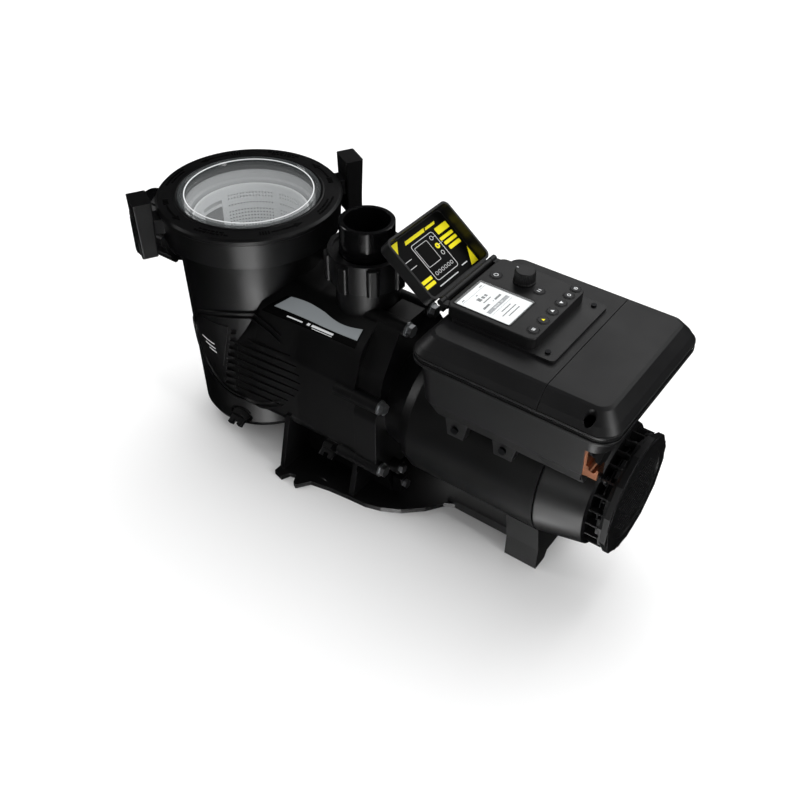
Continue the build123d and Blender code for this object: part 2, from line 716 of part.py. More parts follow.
# ---------------------------------------------------------------- motor
def make_motor():
    save(on_shaft((130, MOTOR_R - 5), (130, MOTOR_R - 1), (132, MOTOR_R), (BELL_X - 0.8, MOTOR_R),
                  (BELL_X - 0.8, MOTOR_R - 5)), "motor_frame")
    save(on_shaft((MOTOR_FRONT_X, 9.5), (MOTOR_FRONT_X, 78), (116, 88), (130, MOTOR_R - 1), (130, 84),
                  (128, 40), (128, 26), (116.5, 26), (116.5, 9.5)), "motor_front_bell")
    save(on_shaft((BELL_X, 84), (BELL_X, MOTOR_R - 0.6), (BELL_X + 2, MOTOR_R), (BELL_END_X - 3, BELL_END_R),
                  (BELL_END_X, BELL_END_R - 4), (BELL_END_X, 24), (BELL_END_X - 6, 18), (369, 18), (369, 13),
                  (361, 13), (361, 30), (346, 30), (346, 36), (378, 40), (380, 72)), "motor_rear_bell")
    with BuildPart() as stator:
        add(on_shaft((176, 50), (176, 89.9), (280, 89.9), (280, 50)).part)
        with BuildSketch(across(175, SHAFT_Z)):
            with PolarLocations(62, 12):
                Rectangle(16, 9)
        extrude(amount=106, mode=Mode.SUBTRACT)
    save(stator, "stator_core")
    with BuildPart() as windings:
        for low, high in ((160, 175.5), (280.5, 296)):
            add(on_shaft((low, 54), (low, 74), (high, 78), (high, 52)).part)
    save(windings, "stator_windings")


def grille_slots():
    """Slot centres of the fan guard in staggered rows, as (y, z) from the shaft."""
    places = []
    for row in range(-6, 7):
        for column in range(-3, 4):
            y = column * 15 + (7.5 if row % 2 else 0)
            z = row * 8
            if math.hypot(y, z) < 50:
                places.append((y, z))
    return places


def make_fan_cover():
    """Guard plate with a faceted rim, a sunken grille and the ribs that stand it off the motor."""
    with BuildPart() as cover:
        with BuildSketch(across(FAN_PLATE_X, SHAFT_Z)):
            RegularPolygon(FAN_PLATE_R - 3, 12)
        extrude(amount=FAN_PLATE_BACK_X - FAN_PLATE_X)
        with BuildSketch(across(FAN_PLATE_BACK_X - 9, SHAFT_Z)):
            RegularPolygon(FAN_PLATE_R, 12, rotation=15)
        extrude(amount=8)
        # thicker steps on every other facet
        for turn in range(6):
            with BuildSketch(across(FAN_PLATE_X - 3, SHAFT_Z)):
                Circle(FAN_PLATE_R - 4)
                Circle(FAN_PLATE_R - 12, mode=Mode.SUBTRACT)
                with Locations(Rotation(0, 0, turn * 60)):
                    Rectangle(2 * FAN_PLATE_R, 26, mode=Mode.INTERSECT)
            extrude(amount=4)
        with BuildSketch(across(FAN_PLATE_X - 4, SHAFT_Z)):
            Circle(68)
        extrude(amount=10, mode=Mode.SUBTRACT)
        with BuildSketch(across(FAN_PLATE_BACK_X - 2, SHAFT_Z)):
            Circle(62)
        extrude(amount=2, mode=Mode.SUBTRACT)
        with BuildSketch(across(FAN_PLATE_X - 1, SHAFT_Z)):
            with Locations(*grille_slots()):
                RectangleRounded(12, 4.2, 2)
        extrude(amount=16, mode=Mode.SUBTRACT)
        for radial in rotated_group(24):
            middle = (BELL_END_X, 74 * radial[1], SHAFT_Z + 74 * radial[2])
            with BuildSketch(Plane(origin=middle, x_dir=radial, z_dir=(1, 0, 0))):
                Rectangle(11, 2.4)
            extrude(amount=FAN_PLATE_X - BELL_END_X + 1)
    save(cover, "fan_cover")


# ---------------------------------------------------------------- drive box
def box_plan(inset, corner):
    with BuildSketch() as plan:
        with Locations(((BOX_X[0] + BOX_X[1]) / 2, 0)):
            RectangleRounded(BOX_X[1] - BOX_X[0] - 2 * inset, 2 * (BOX_HALF_WIDTH - inset), corner)
    return plan.sketch


def drive_solid(levels):
    """Stack of rounded plans joined level to level; levels are (z, inset, corner)."""
    with BuildPart() as solid:
        for (low, low_inset, low_corner), (high, high_inset, high_corner) in zip(levels, levels[1:]):
            with BuildSketch(Plane.XY.offset(low)):
                add(box_plan(low_inset, low_corner))
            with BuildSketch(Plane.XY.offset(high)):
                add(box_plan(high_inset, high_corner))
            loft()
    return solid.part


LID_LEVELS = [
    (LIP_Z + 1, 0, 25), (LIP_Z + 6, 0.2, 25), (LIP_Z + 14, 5, 22), (LID_TOP_Z - 2, 16, 16),
    (LID_TOP_Z, 20, 14),
]
LID_INSIDE = [(LIP_Z + 1, 5, 20), (LIP_Z + 13, 9, 18), (LID_TOP_Z - 6, 21, 12)]
TRAY_LEVELS = [
    (240, 22, 16), (262, 12, 20), (LIP_Z - 10, 7, 22), (LIP_Z - 8, 0.5, 25), (LIP_Z - 0.5, 0.5, 25),
]
TRAY_INSIDE = [(244, 26, 12), (262, 17, 16), (LIP_Z + 1, 12, 18)]
COVER_SCREWS = [(381.0, -110.0), (381.0, 110.0)]


def make_lid():
    shell = drive_solid(LID_LEVELS)
    inside = drive_solid(LID_INSIDE)
    for name, low, high in (("drive_lid", 0, COVER_SEAM_X - 0.4), ("wiring_cover", COVER_SEAM_X + 0.4, 600)):
        with BuildPart() as lid:
            add(shell)
            add(inside, mode=Mode.SUBTRACT)
            with BuildSketch(Plane.XY.offset(LIP_Z - 5)):
                with Locations(((low + high) / 2, 0)):
                    Rectangle(high - low, 400)
            extrude(amount=80, mode=Mode.INTERSECT)
            if name == "wiring_cover":
                with BuildSketch(Plane.XY.offset(LIP_Z + 6)):
                    with Locations(*COVER_SCREWS):
                        Circle(6.5)
                extrude(amount=30, mode=Mode.SUBTRACT)
                with BuildSketch(Plane.XY.offset(LIP_Z - 1)):
                    with Locations(*COVER_SCREWS):
                        Circle(2.6)
                extrude(amount=30, mode=Mode.SUBTRACT)
        save(lid, name)


def tray_stage(levels, end_x, flange_z):
    """Tray block whose +X end stands back under the flange."""
    with BuildPart() as stage:
        add(drive_solid(levels))
        with Locations((end_x + 50, 0, flange_z - 100)):
            Box(100, 400, 200, mode=Mode.SUBTRACT)
    return stage.part


def make_tray():
    with BuildPart() as tray:
        add(tray_stage(TRAY_LEVELS, TRAY_END_X, TRAY_FLANGE_Z))
        # feet that reach down beside the motor, with slanted ends
        for side in (-1, 1):
            for low_x, high_x, low_z in TRAY_FEET:
                with BuildSketch(Plane(origin=(0, side * 84, 0), x_dir=(1, 0, 0), z_dir=(0, -1, 0))):
                    with BuildLine():
                        Polyline(
                            (low_x - 7, 262), (low_x, low_z), (high_x, low_z), (high_x + 9, 262), close=True)
                    make_face()
                extrude(amount=-side * 14)
            with BuildSketch(Plane(origin=(0, side * 96, 0), x_dir=(1, 0, 0), z_dir=(0, -1, 0))):
                with BuildLine():
                    Polyline(
                        (290, 270), (340, 251), (TRAY_END_X - 1, 251), (TRAY_END_X - 1, 290), close=True)
                make_face()
            extrude(amount=-side * 10)
        add(tray_stage(TRAY_INSIDE, TRAY_END_X - 4, TRAY_FLANGE_Z + 4), mode=Mode.SUBTRACT)
        # saddle over the round motor frame
        with BuildSketch(across(BOX_X[0] - 10, SHAFT_Z)):
            Circle(MOTOR_R + 0.4)
        extrude(amount=400, mode=Mode.SUBTRACT)
        for place in CABLE_ENTRIES:
            with BuildSketch(across(TRAY_END_X - 30)):
                with Locations(place):
                    Circle(8.1)
            extrude(amount=60, mode=Mode.SUBTRACT)
        for side in (-1, 1):
            with BuildSketch(Plane(origin=(0, side * 80, 0), x_dir=(1, 0, 0), z_dir=(0, -1, 0))):
                with Locations(*TRAY_SCREWS):
                    Circle(2.6)
            extrude(amount=-side * 40, mode=Mode.SUBTRACT)
        with BuildSketch(across(TRAY_END_X - 10)):
            with Locations(*LUG_SCREWS):
                Circle(2.6)
        extrude(amount=20, mode=Mode.SUBTRACT)
    save(tray, "drive_tray")


def make_bonding_lug():
    """Copper lug on the end wall: back plate, wire block with an open channel, and a foot."""
    with BuildPart() as lug:
        with Locations((TRAY_END_X + 1.5, LUG_Y, 282)):
            Box(3, 16, 40)
        with Locations((TRAY_END_X + 10, LUG_Y, 270)):
            Box(16, 16, 15)
        with BuildSketch(across(TRAY_END_X)):
            with Locations(*LUG_SCREWS):
                Circle(2.6)
        extrude(amount=20, mode=Mode.SUBTRACT)
        with BuildSketch(Plane.XZ.offset(-LUG_Y)):
            with Locations((TRAY_END_X + 11, 276)):
                Circle(5)
        extrude(amount=30, both=True, mode=Mode.SUBTRACT)
    save(lug, "bonding_lug")


CABLE_ENTRIES = [(-62, 289), (-31, 289), (0, 289), (31, 289), (62, 289)]
TRAY_FEET = [(197, 220, 216), (264, 289, 220)]
TRAY_SCREWS = [(208, 228), (276, 232)]
LUG_Y = -98.0
LUG_SCREWS = [(LUG_Y, 294)]


def make_drive_pieces():
    with BuildPart() as gasket:
        with BuildSketch(Plane.XY.offset(LIP_Z - 0.5)):
            add(box_plan(1.5, 24))
            add(box_plan(7, 20), mode=Mode.SUBTRACT)
        extrude(amount=1.5)
    save(gasket, "lid_gasket")
    with BuildPart() as plugs:
        for y, z in CABLE_ENTRIES:
            with BuildSketch(across(TRAY_END_X - 6, z)):
                with Locations((y, 0)):
                    Circle(8)
            extrude(amount=14)
            with BuildSketch(across(TRAY_END_X, z)):
                with Locations((y, 0)):
                    RegularPolygon(12, 6)
            extrude(amount=16)
    save(plugs, "cable_entry_plugs")
    with BuildPart() as screws:
        with BuildSketch(Plane.XY.offset(LIP_Z + 6.3)):
            with Locations(*COVER_SCREWS):
                Circle(5)
        extrude(amount=4)
        with BuildSketch(Plane.XY.offset(LIP_Z + 1.2)):
            with Locations(*COVER_SCREWS):
                Circle(2.5)
        extrude(amount=6)
        with BuildSketch(Plane.XY.offset(PLATE_TOP_Z)):
            with Locations(*PLATE_SCREWS):
                Circle(3.4)
        extrude(amount=2)
        with BuildSketch(Plane.XY.offset(PLATE_TOP_Z)):
            with Locations(*PLATE_SCREWS):
                Circle(1.8)
        extrude(amount=-3.5)
        for side in (-1, 1):
            with BuildSketch(Plane(origin=(0, side * 98, 0), x_dir=(1, 0, 0), z_dir=(0, -1, 0))):
                with Locations(*TRAY_SCREWS):
                    Circle(5)
            extrude(amount=-side * 3)
            with BuildSketch(Plane(origin=(0, side * 98, 0), x_dir=(1, 0, 0), z_dir=(0, -1, 0))):
                with Locations(*TRAY_SCREWS):
                    Circle(2.5)
            extrude(amount=side * 8)
        with BuildSketch(across(TRAY_END_X + 3)):
            with Locations(*LUG_SCREWS):
                Circle(5)
        extrude(amount=4)
        with BuildSketch(across(TRAY_END_X + 3)):
            with Locations(*LUG_SCREWS):
                Circle(2.5)
        extrude(amount=-10)
        with BuildSketch(across(TRAY_END_X + 18)):
            with Locations((LUG_Y - 2, 267)):
                Circle(3.6)
        extrude(amount=4)
    save(screws, "drive_screws")
    with BuildPart() as boards:
        with BuildSketch(Plane.XY.offset(300)):
            with Locations((250, 0)):
                Rectangle(150, 170)
        extrude(amount=1.6)
        with BuildSketch(Plane.XY.offset(PANEL_TOP_Z - 8)):
            with Locations((PANEL_MIDDLE_X, 0)):
                Rectangle(106, 116)
        extrude(amount=1.6)
    save(boards, "circuit_boards")
    with BuildPart() as capacitors:
        with BuildSketch(Plane.XY.offset(301.7)):
            with Locations((200, -50), (240, -50), (280, -50)):
                Circle(15)
        extrude(amount=36)
    save(capacitors, "capacitors")
    with BuildPart() as sink:
        with BuildSketch(Plane.XY.offset(270)):
            with Locations((260, 0)):
                Rectangle(120, 120)
        extrude(amount=8)
        for number in range(9):
            with BuildSketch(Plane.XY.offset(278)):
                with Locations((260, -48 + 12 * number)):
                    Rectangle(116, 2.5)
            extrude(amount=20)
    save(sink, "heat_sink")
    with BuildPart() as block:
        with BuildSketch(Plane.XY.offset(290)):
            with Locations((356, 0)):
                Rectangle(26, 110)
        extrude(amount=24)
        for number in range(7):
            with BuildSketch(Plane.XY.offset(302)):
                with Locations((356, -45 + 15 * number)):
                    Rectangle(20, 10)
            extrude(amount=20, mode=Mode.SUBTRACT)
    save(block, "terminal_block")


# ---------------------------------------------------------------- controller
PANEL_MIDDLE_X = (PANEL_X[0] + PANEL_X[1]) / 2
PLATE_TOP_Z = 364.0
DISPLAY = (207.0, -25.0, 76.0, 58.0)
KNOB_PLACE = (213.0, 34.0)
KEY_PLACES = [(179, 24), (238, 26), (271, -45), (271, -22.5), (271, -1), (271, 20), (271, 39), (271, 56)]
KEY_RADII = [7.0, 6.5, 6.5, 6.5, 6.5, 6.5, 6.0, 6.0]


def make_controller():
    with BuildPart() as plate:
        with BuildSketch(Plane.XY.offset(LID_TOP_Z)):
            with Locations((242, 0)):
                RectangleRounded(138, 134, 6)
        extrude(amount=PLATE_TOP_Z - LID_TOP_Z)
        with BuildSketch(Plane.XY.offset(LID_TOP_Z - 1)):
            with Locations(*PLATE_SCREWS):
                Circle(1.9)
        extrude(amount=10, mode=Mode.SUBTRACT)
    save(plate, "controller_plate")
    with BuildPart() as housing:
        with BuildSketch(Plane.XY.offset(PLATE_TOP_Z)):
            with Locations((PANEL_MIDDLE_X, 0)):
                RectangleRounded(PANEL_X[1] - PANEL_X[0], 2 * PANEL_HALF_WIDTH, 10)
        extrude(amount=PANEL_TOP_Z - PLATE_TOP_Z)
        fillet(housing.faces().sort_by(Axis.Z)[-1].edges(), 1.5)
        with BuildSketch(Plane.XY.offset(PLATE_TOP_Z - 1)):
            with Locations((PANEL_MIDDLE_X, 0)):
                RectangleRounded(PANEL_X[1] - PANEL_X[0] - 6, 2 * PANEL_HALF_WIDTH - 6, 8)
        extrude(amount=PANEL_TOP_Z - PLATE_TOP_Z - 1.5, mode=Mode.SUBTRACT)
        with BuildSketch(Plane.XY.offset(PANEL_TOP_Z - 5)):
            with Locations((DISPLAY[0], DISPLAY[1])):
                RectangleRounded(DISPLAY[2] + 0.2, DISPLAY[3] + 0.2, 2.1)
            for place, radius in zip(KEY_PLACES, KEY_RADII):
                with Locations(place):
                    Circle(radius + GAP)
            with Locations(KNOB_PLACE):
                Circle(4.3)
        extrude(amount=10, mode=Mode.SUBTRACT)
        # knuckles that carry the pin of the flip cover
        for side in (-1, 1):
            with BuildSketch(Plane.XZ.offset(-side * 56)):
                with Locations((HINGE_X, HINGE_Z)):
                    Circle(4)
                with Locations((HINGE_X + 6, HINGE_Z - 2)):
                    Rectangle(10, 5)
                with Locations((HINGE_X, HINGE_Z)):
                    Circle(2.0, mode=Mode.SUBTRACT)
            extrude(amount=5, both=True)
    save(housing, "controller_housing")
    with BuildPart() as pin:
        with BuildSketch(Plane.XZ.offset(-62)):
            with Locations((HINGE_X, HINGE_Z)):
                Circle(2.0)
        extrude(amount=124)
    save(pin, "hinge_pin")
    with BuildPart() as window:
        with BuildSketch(Plane.XY.offset(PANEL_TOP_Z - 1.2)):
            with Locations((DISPLAY[0], DISPLAY[1])):
                RectangleRounded(DISPLAY[2], DISPLAY[3], 2)
        extrude(amount=1.4)
    save(window, "display_window")
    with BuildPart() as display:
        with BuildSketch(Plane.XY.offset(PANEL_TOP_Z - 3.4)):
            with Locations((DISPLAY[0], DISPLAY[1])):
                Rectangle(DISPLAY[2] - 4, DISPLAY[3] - 4)
        extrude(amount=2.1)
    save(display, "display_panel")
    with BuildPart() as encoder:
        with BuildSketch(Plane.XY.offset(PANEL_TOP_Z - 6.3)):
            with Locations(KNOB_PLACE):
                Rectangle(13, 13)
                Circle(3.1, mode=Mode.SUBTRACT)
        extrude(amount=3.6)
    save(encoder, "rotary_encoder")
    with BuildPart() as knob:
        with BuildSketch(Plane.XY.offset(PANEL_TOP_Z + 0.4)):
            with Locations(KNOB_PLACE):
                Circle(14)
        extrude(amount=15.5, taper=2)
        fillet(knob.faces().sort_by(Axis.Z)[-1].edges(), 1.5)
        with BuildSketch(Plane.XY.offset(PANEL_TOP_Z - 6)):
            with Locations(KNOB_PLACE):
                Circle(3.04)
        extrude(amount=8)
    save(knob, "control_knob")
    for number, (place, radius) in enumerate(zip(KEY_PLACES, KEY_RADII), start=1):
        with BuildPart() as key:
            with BuildSketch(Plane.XY.offset(PANEL_TOP_Z - 4)):
                with Locations(place):
                    Circle(radius)
            extrude(amount=5)
            fillet(key.faces().sort_by(Axis.Z)[-1].edges(), 0.5)
        save(key, f"key_{number}")


PLATE_SCREWS = [(297, -55), (297, 57)]


def make_flip_cover():
    low = PANEL_TOP_Z + 0.6
    middle_x = HINGE_X + 5 + (COVER_LENGTH - 5) / 2
    with BuildPart() as cover:
        with BuildSketch(Plane.XY.offset(low)):
            with Locations((middle_x, 0)):
                RectangleRounded(COVER_LENGTH - 5, 2 * PANEL_HALF_WIDTH, 9)
        extrude(amount=COVER_DEPTH)
        fillet(cover.faces().sort_by(Axis.Z)[-1].edges(), 2)
        with BuildSketch(Plane.XY.offset(low)):
            with Locations((middle_x, 0)):
                RectangleRounded(COVER_LENGTH - 11, 2 * PANEL_HALF_WIDTH - 6, 7)
        extrude(amount=COVER_DEPTH - 2.2, mode=Mode.SUBTRACT)
        # barrel on the pin between the housing's knuckles
        with BuildSketch(Plane.XZ.offset(-50)):
            with Locations((HINGE_X, HINGE_Z)):
                Circle(3.9)
            with BuildLine():
                Polyline(
                    (HINGE_X - 3.9, HINGE_Z), (HINGE_X + 1, HINGE_Z), (HINGE_X + 6, low + 0.5),
                    (HINGE_X + 6, low + 4), (HINGE_X - 1, low + 4), close=True,
                )
            make_face()
            with Locations((HINGE_X, HINGE_Z)):
                Circle(2.05, mode=Mode.SUBTRACT)
        extrude(amount=100)
    hinge = Axis((HINGE_X, 0, HINGE_Z), (0, 1, 0))
    opened = cover.part.rotate(hinge, -COVER_OPEN)
    with BuildPart() as placed:
        add(opened)
    save(placed, "flip_cover")


make_body()
make_seal_plate()
make_bolts()
make_seals()
make_lock_ring()
make_lens()
make_basket()
make_unions()
make_drain_plugs()
make_base()
make_rear_foot()
make_rotor()
make_diffuser()
make_bearings()
make_motor()
make_fan_cover()
make_lid()
make_tray()
make_bonding_lug()
make_drive_pieces()
make_controller()
make_flip_cover()
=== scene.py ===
import math

import bpy
import numpy as np
from bpy.props import FloatProperty, FloatVectorProperty, IntProperty, PointerProperty
from mathutils import Matrix, Vector


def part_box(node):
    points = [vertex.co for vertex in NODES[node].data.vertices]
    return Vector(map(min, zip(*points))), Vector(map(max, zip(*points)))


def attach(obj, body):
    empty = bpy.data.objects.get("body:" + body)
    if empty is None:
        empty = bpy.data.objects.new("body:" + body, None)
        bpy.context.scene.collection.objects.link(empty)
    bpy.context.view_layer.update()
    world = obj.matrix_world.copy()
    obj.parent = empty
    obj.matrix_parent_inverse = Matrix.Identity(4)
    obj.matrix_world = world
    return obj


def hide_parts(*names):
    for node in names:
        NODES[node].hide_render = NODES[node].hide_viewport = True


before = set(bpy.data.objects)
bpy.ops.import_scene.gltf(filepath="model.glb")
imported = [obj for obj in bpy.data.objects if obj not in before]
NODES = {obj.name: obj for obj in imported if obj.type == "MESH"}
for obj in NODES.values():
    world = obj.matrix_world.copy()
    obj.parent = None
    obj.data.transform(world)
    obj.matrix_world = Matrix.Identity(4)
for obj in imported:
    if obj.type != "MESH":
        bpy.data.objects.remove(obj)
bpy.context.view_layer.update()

bl_info = {
    "name": "Pool pump",
    "version": (1, 0, 0),
    "blender": (4, 5, 0),
    "location": "3D View > Sidebar > Pool pump",
    "description": "Finishes and fine pieces of a pool pump round its packed frame",
    "category": "Add Mesh",
}

MM = 0.001
POT_X = -0.204                                # axis of the strainer pot
POT_AXIS = Matrix.Translation((POT_X, 0, 0))
CONTROL_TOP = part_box("display_window")[1][2] - 0.2 * MM   # the controller's face, just under its window
LENS_LOW, LENS_TOP = (corner[2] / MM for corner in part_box("lid_lens"))
READ_Y = Matrix.Rotation(math.pi / 2, 4, "Z")   # flat shapes that read along +Y, their tops towards -X


def linear(code):
    """sRGB hex colour as linear red, green and blue."""
    parts = [int(code[at:at + 2], 16) / 255 for at in (0, 2, 4)]
    return tuple(part / 12.92 if part <= 0.04045 else ((part + 0.055) / 1.055) ** 2.4 for part in parts)


# ---------- sizes and colours
def colour_property(label, text, code):
    return FloatVectorProperty(
        name=label, description=text, subtype="COLOR", size=3, min=0, max=1, default=linear(code))


def length_property(label, text, millimetres):
    return FloatProperty(name=label, description=text, default=millimetres * MM, min=0, unit="LENGTH")


class PumpColours(bpy.types.PropertyGroup):
    """Colours of the pump's finishes."""
    body: colour_property("Body", "Glass-filled plastic of the pot, the housing and the base", "070708")
    ring: colour_property("Ring", "Moulded plastic of the lock ring, the nuts and the plugs", "0a0a0b")
    pipe: colour_property("Pipe", "Smooth pipe plastic of the tailpieces", "060607")
    drive: colour_property("Drive box", "Fine-grained plastic of the drive box", "121213")
    control: colour_property("Controller", "Fine-grained plastic of the controller", "0f0f10")
    motor: colour_property("Motor", "Satin paint of the motor", "060607")
    basket: colour_property("Basket", "Moulded plastic of the strainer basket", "eceeef")
    steel: colour_property("Steel", "Stainless steel of the bolts", "b9bbbd")
    copper: colour_property("Copper", "Bare copper of the bonding lug", "c98a6a")
    silver: colour_property("Silver print", "Silver print on the side label", "8f9497")
    yellow: colour_property("Yellow print", "Yellow print inside the flip cover", "f3e51e")
    white: colour_property("White print", "White print on the keys and labels", "dcdedf")
    display: colour_property("Display", "Ground of the reflective display", "eff2f3")


class PumpSizes(bpy.types.PropertyGroup):
    """Sizes of the pump's fine pieces."""
    hole_border: length_property("Basket bar", "Half the bar between two basket holes", 1.15)
    basket_wall: length_property("Basket wall", "Thickness of the basket wall", 1.8)
    rim_height: length_property("Badge rim", "Height of the badge rims over the wall", 3.0)
    print_thickness: length_property("Print", "Thickness of a printed or labelled layer", 0.25)
    mark_height: length_property("Ring marks", "Height of the raised marks on the lock ring", 0.7)
    knob_ribs: IntProperty(name="Knob ribs", description="Number of ribs round the knob", default=40, min=8)


# ---------- materials
def add_node(material, kind, settings=(), links=()):
    """Adds one shader node; settings are (socket or attribute, value), links are (socket, source node, output)."""
    node = material.node_tree.nodes.new(kind)
    for name, value in settings:
        if isinstance(name, str) and hasattr(node, name):
            setattr(node, name, value)
        else:
            node.inputs[name].default_value = value
    for name, source, output in links:
        material.node_tree.links.new(node.inputs[name], source.outputs[output])
    return node


def blank_material(name):
    """New node material with an empty tree."""
    material = bpy.data.materials.new(name)
    material.use_nodes = True
    material.node_tree.nodes.clear()
    return material


def finish_output(material, shader):
    add_node(material, "ShaderNodeOutputMaterial", links=[("Surface", shader, 0)])
    return material


def moulded(name, colour, roughness, grain_mm, depth_mm, edge_mm, fleck=0.25, sheen=0.5):
    """Moulded or painted surface: grain in the relief, slow clouds in colour and gloss, softened edges."""
    material = blank_material(name)
    place = add_node(material, "ShaderNodeTexCoord")
    grain = add_node(
        material, "ShaderNodeTexNoise", [("Scale", 1 / (grain_mm * MM)), ("Detail", 3.0), ("Roughness", 0.6)],
        [("Vector", place, "Object")])
    cloud = add_node(
        material, "ShaderNodeTexNoise", [("Scale", 1 / (60 * MM)), ("Detail", 4.0), ("Roughness", 0.55)],
        [("Vector", place, "Object")])
    light = tuple(min(1.0, part * (1 + fleck) + 0.0006) for part in colour)
    dark = tuple(part * (1 - fleck) for part in colour)
    tone = add_node(
        material, "ShaderNodeMix", [("data_type", "RGBA"), (6, (*dark, 1)), (7, (*light, 1))],
        [(0, cloud, "Fac")])
    gloss = add_node(
        material, "ShaderNodeMapRange",
        [("From Min", 0.3), ("From Max", 0.7), ("To Min", roughness - 0.04), ("To Max", roughness + 0.05)],
        [("Value", cloud, "Fac")])
    edge = add_node(material, "ShaderNodeBevel", [("samples", 4), ("Radius", edge_mm * MM)])
    relief = add_node(
        material, "ShaderNodeBump", [("Strength", 1.0), ("Distance", depth_mm * MM)],
        [("Height", grain, "Fac"), ("Normal", edge, 0)])
    shader = add_node(
        material, "ShaderNodeBsdfPrincipled", [("IOR", 1.5), ("Specular IOR Level", sheen)],
        [("Base Color", tone, 2), ("Roughness", gloss, 0), ("Normal", relief, 0)])
    return finish_output(material, shader)


def metal(name, colour, roughness, line_mm, across):
    """Bare metal with fine lines drawn across one axis."""
    material = blank_material(name)
    place = add_node(material, "ShaderNodeTexCoord")
    stretch = [1 / (line_mm * MM)] * 3
    stretch[across] = 20.0
    turn = add_node(material, "ShaderNodeMapping", [("Scale", stretch)], [("Vector", place, "Object")])
    lines = add_node(material, "ShaderNodeTexNoise", [("Scale", 1.0), ("Detail", 3.0)], [("Vector", turn, 0)])
    light = tuple(min(1.0, part * 1.12) for part in colour)
    dark = tuple(part * 0.72 for part in colour)
    tone = add_node(
        material, "ShaderNodeMix", [("data_type", "RGBA"), (6, (*dark, 1)), (7, (*light, 1))], [(0, lines, "Fac")])
    gloss = add_node(
        material, "ShaderNodeMapRange", [("To Min", roughness - 0.07), ("To Max", roughness + 0.1)],
        [("Value", lines, "Fac")])
    relief = add_node(
        material, "ShaderNodeBump", [("Strength", 0.5), ("Distance", 0.05 * MM)], [("Height", lines, "Fac")])
    shader = add_node(
        material, "ShaderNodeBsdfPrincipled", [("Metallic", 1.0)],
        [("Base Color", tone, 2), ("Roughness", gloss, 0), ("Normal", relief, 0)])
    return finish_output(material, shader)


def clear_moulding(name, colour, rim_colour, middle_alpha, rim_alpha, clear_radius_mm, rim_radius_mm, roughness):
    """Clear plastic: thin and clear in the middle, milkier where it thickens to its rim."""
    material = blank_material(name)
    place = add_node(material, "ShaderNodeTexCoord")
    centre = add_node(
        material, "ShaderNodeMapping", [("Location", (-POT_X, 0, 0)), ("Scale", (1, 1, 0))],
        [("Vector", place, "Object")])
    away = add_node(material, "ShaderNodeVectorMath", [("operation", "LENGTH")], [(0, centre, 0)])
    deep = add_node(
        material, "ShaderNodeMapRange", [("From Min", clear_radius_mm * MM), ("From Max", rim_radius_mm * MM)],
        [("Value", away, "Value")])
    cover = add_node(
        material, "ShaderNodeMapRange", [("To Min", middle_alpha), ("To Max", rim_alpha)], [("Value", deep, 0)])
    tone = add_node(
        material, "ShaderNodeMix", [("data_type", "RGBA"), (6, (*colour, 1)), (7, (*rim_colour, 1))],
        [(0, deep, 0)])
    ripple = add_node(
        material, "ShaderNodeTexNoise", [("Scale", 1 / (40 * MM)), ("Detail", 2.0)], [("Vector", place, "Object")])
    relief = add_node(
        material, "ShaderNodeBump", [("Strength", 0.3), ("Distance", 0.06 * MM)], [("Height", ripple, "Fac")])
    shader = add_node(
        material, "ShaderNodeBsdfPrincipled", [("Roughness", roughness), ("IOR", 1.58)],
        [("Base Color", tone, 2), ("Alpha", cover, 0), ("Normal", relief, 0)])
    return finish_output(material, shader)


FINISH = {}


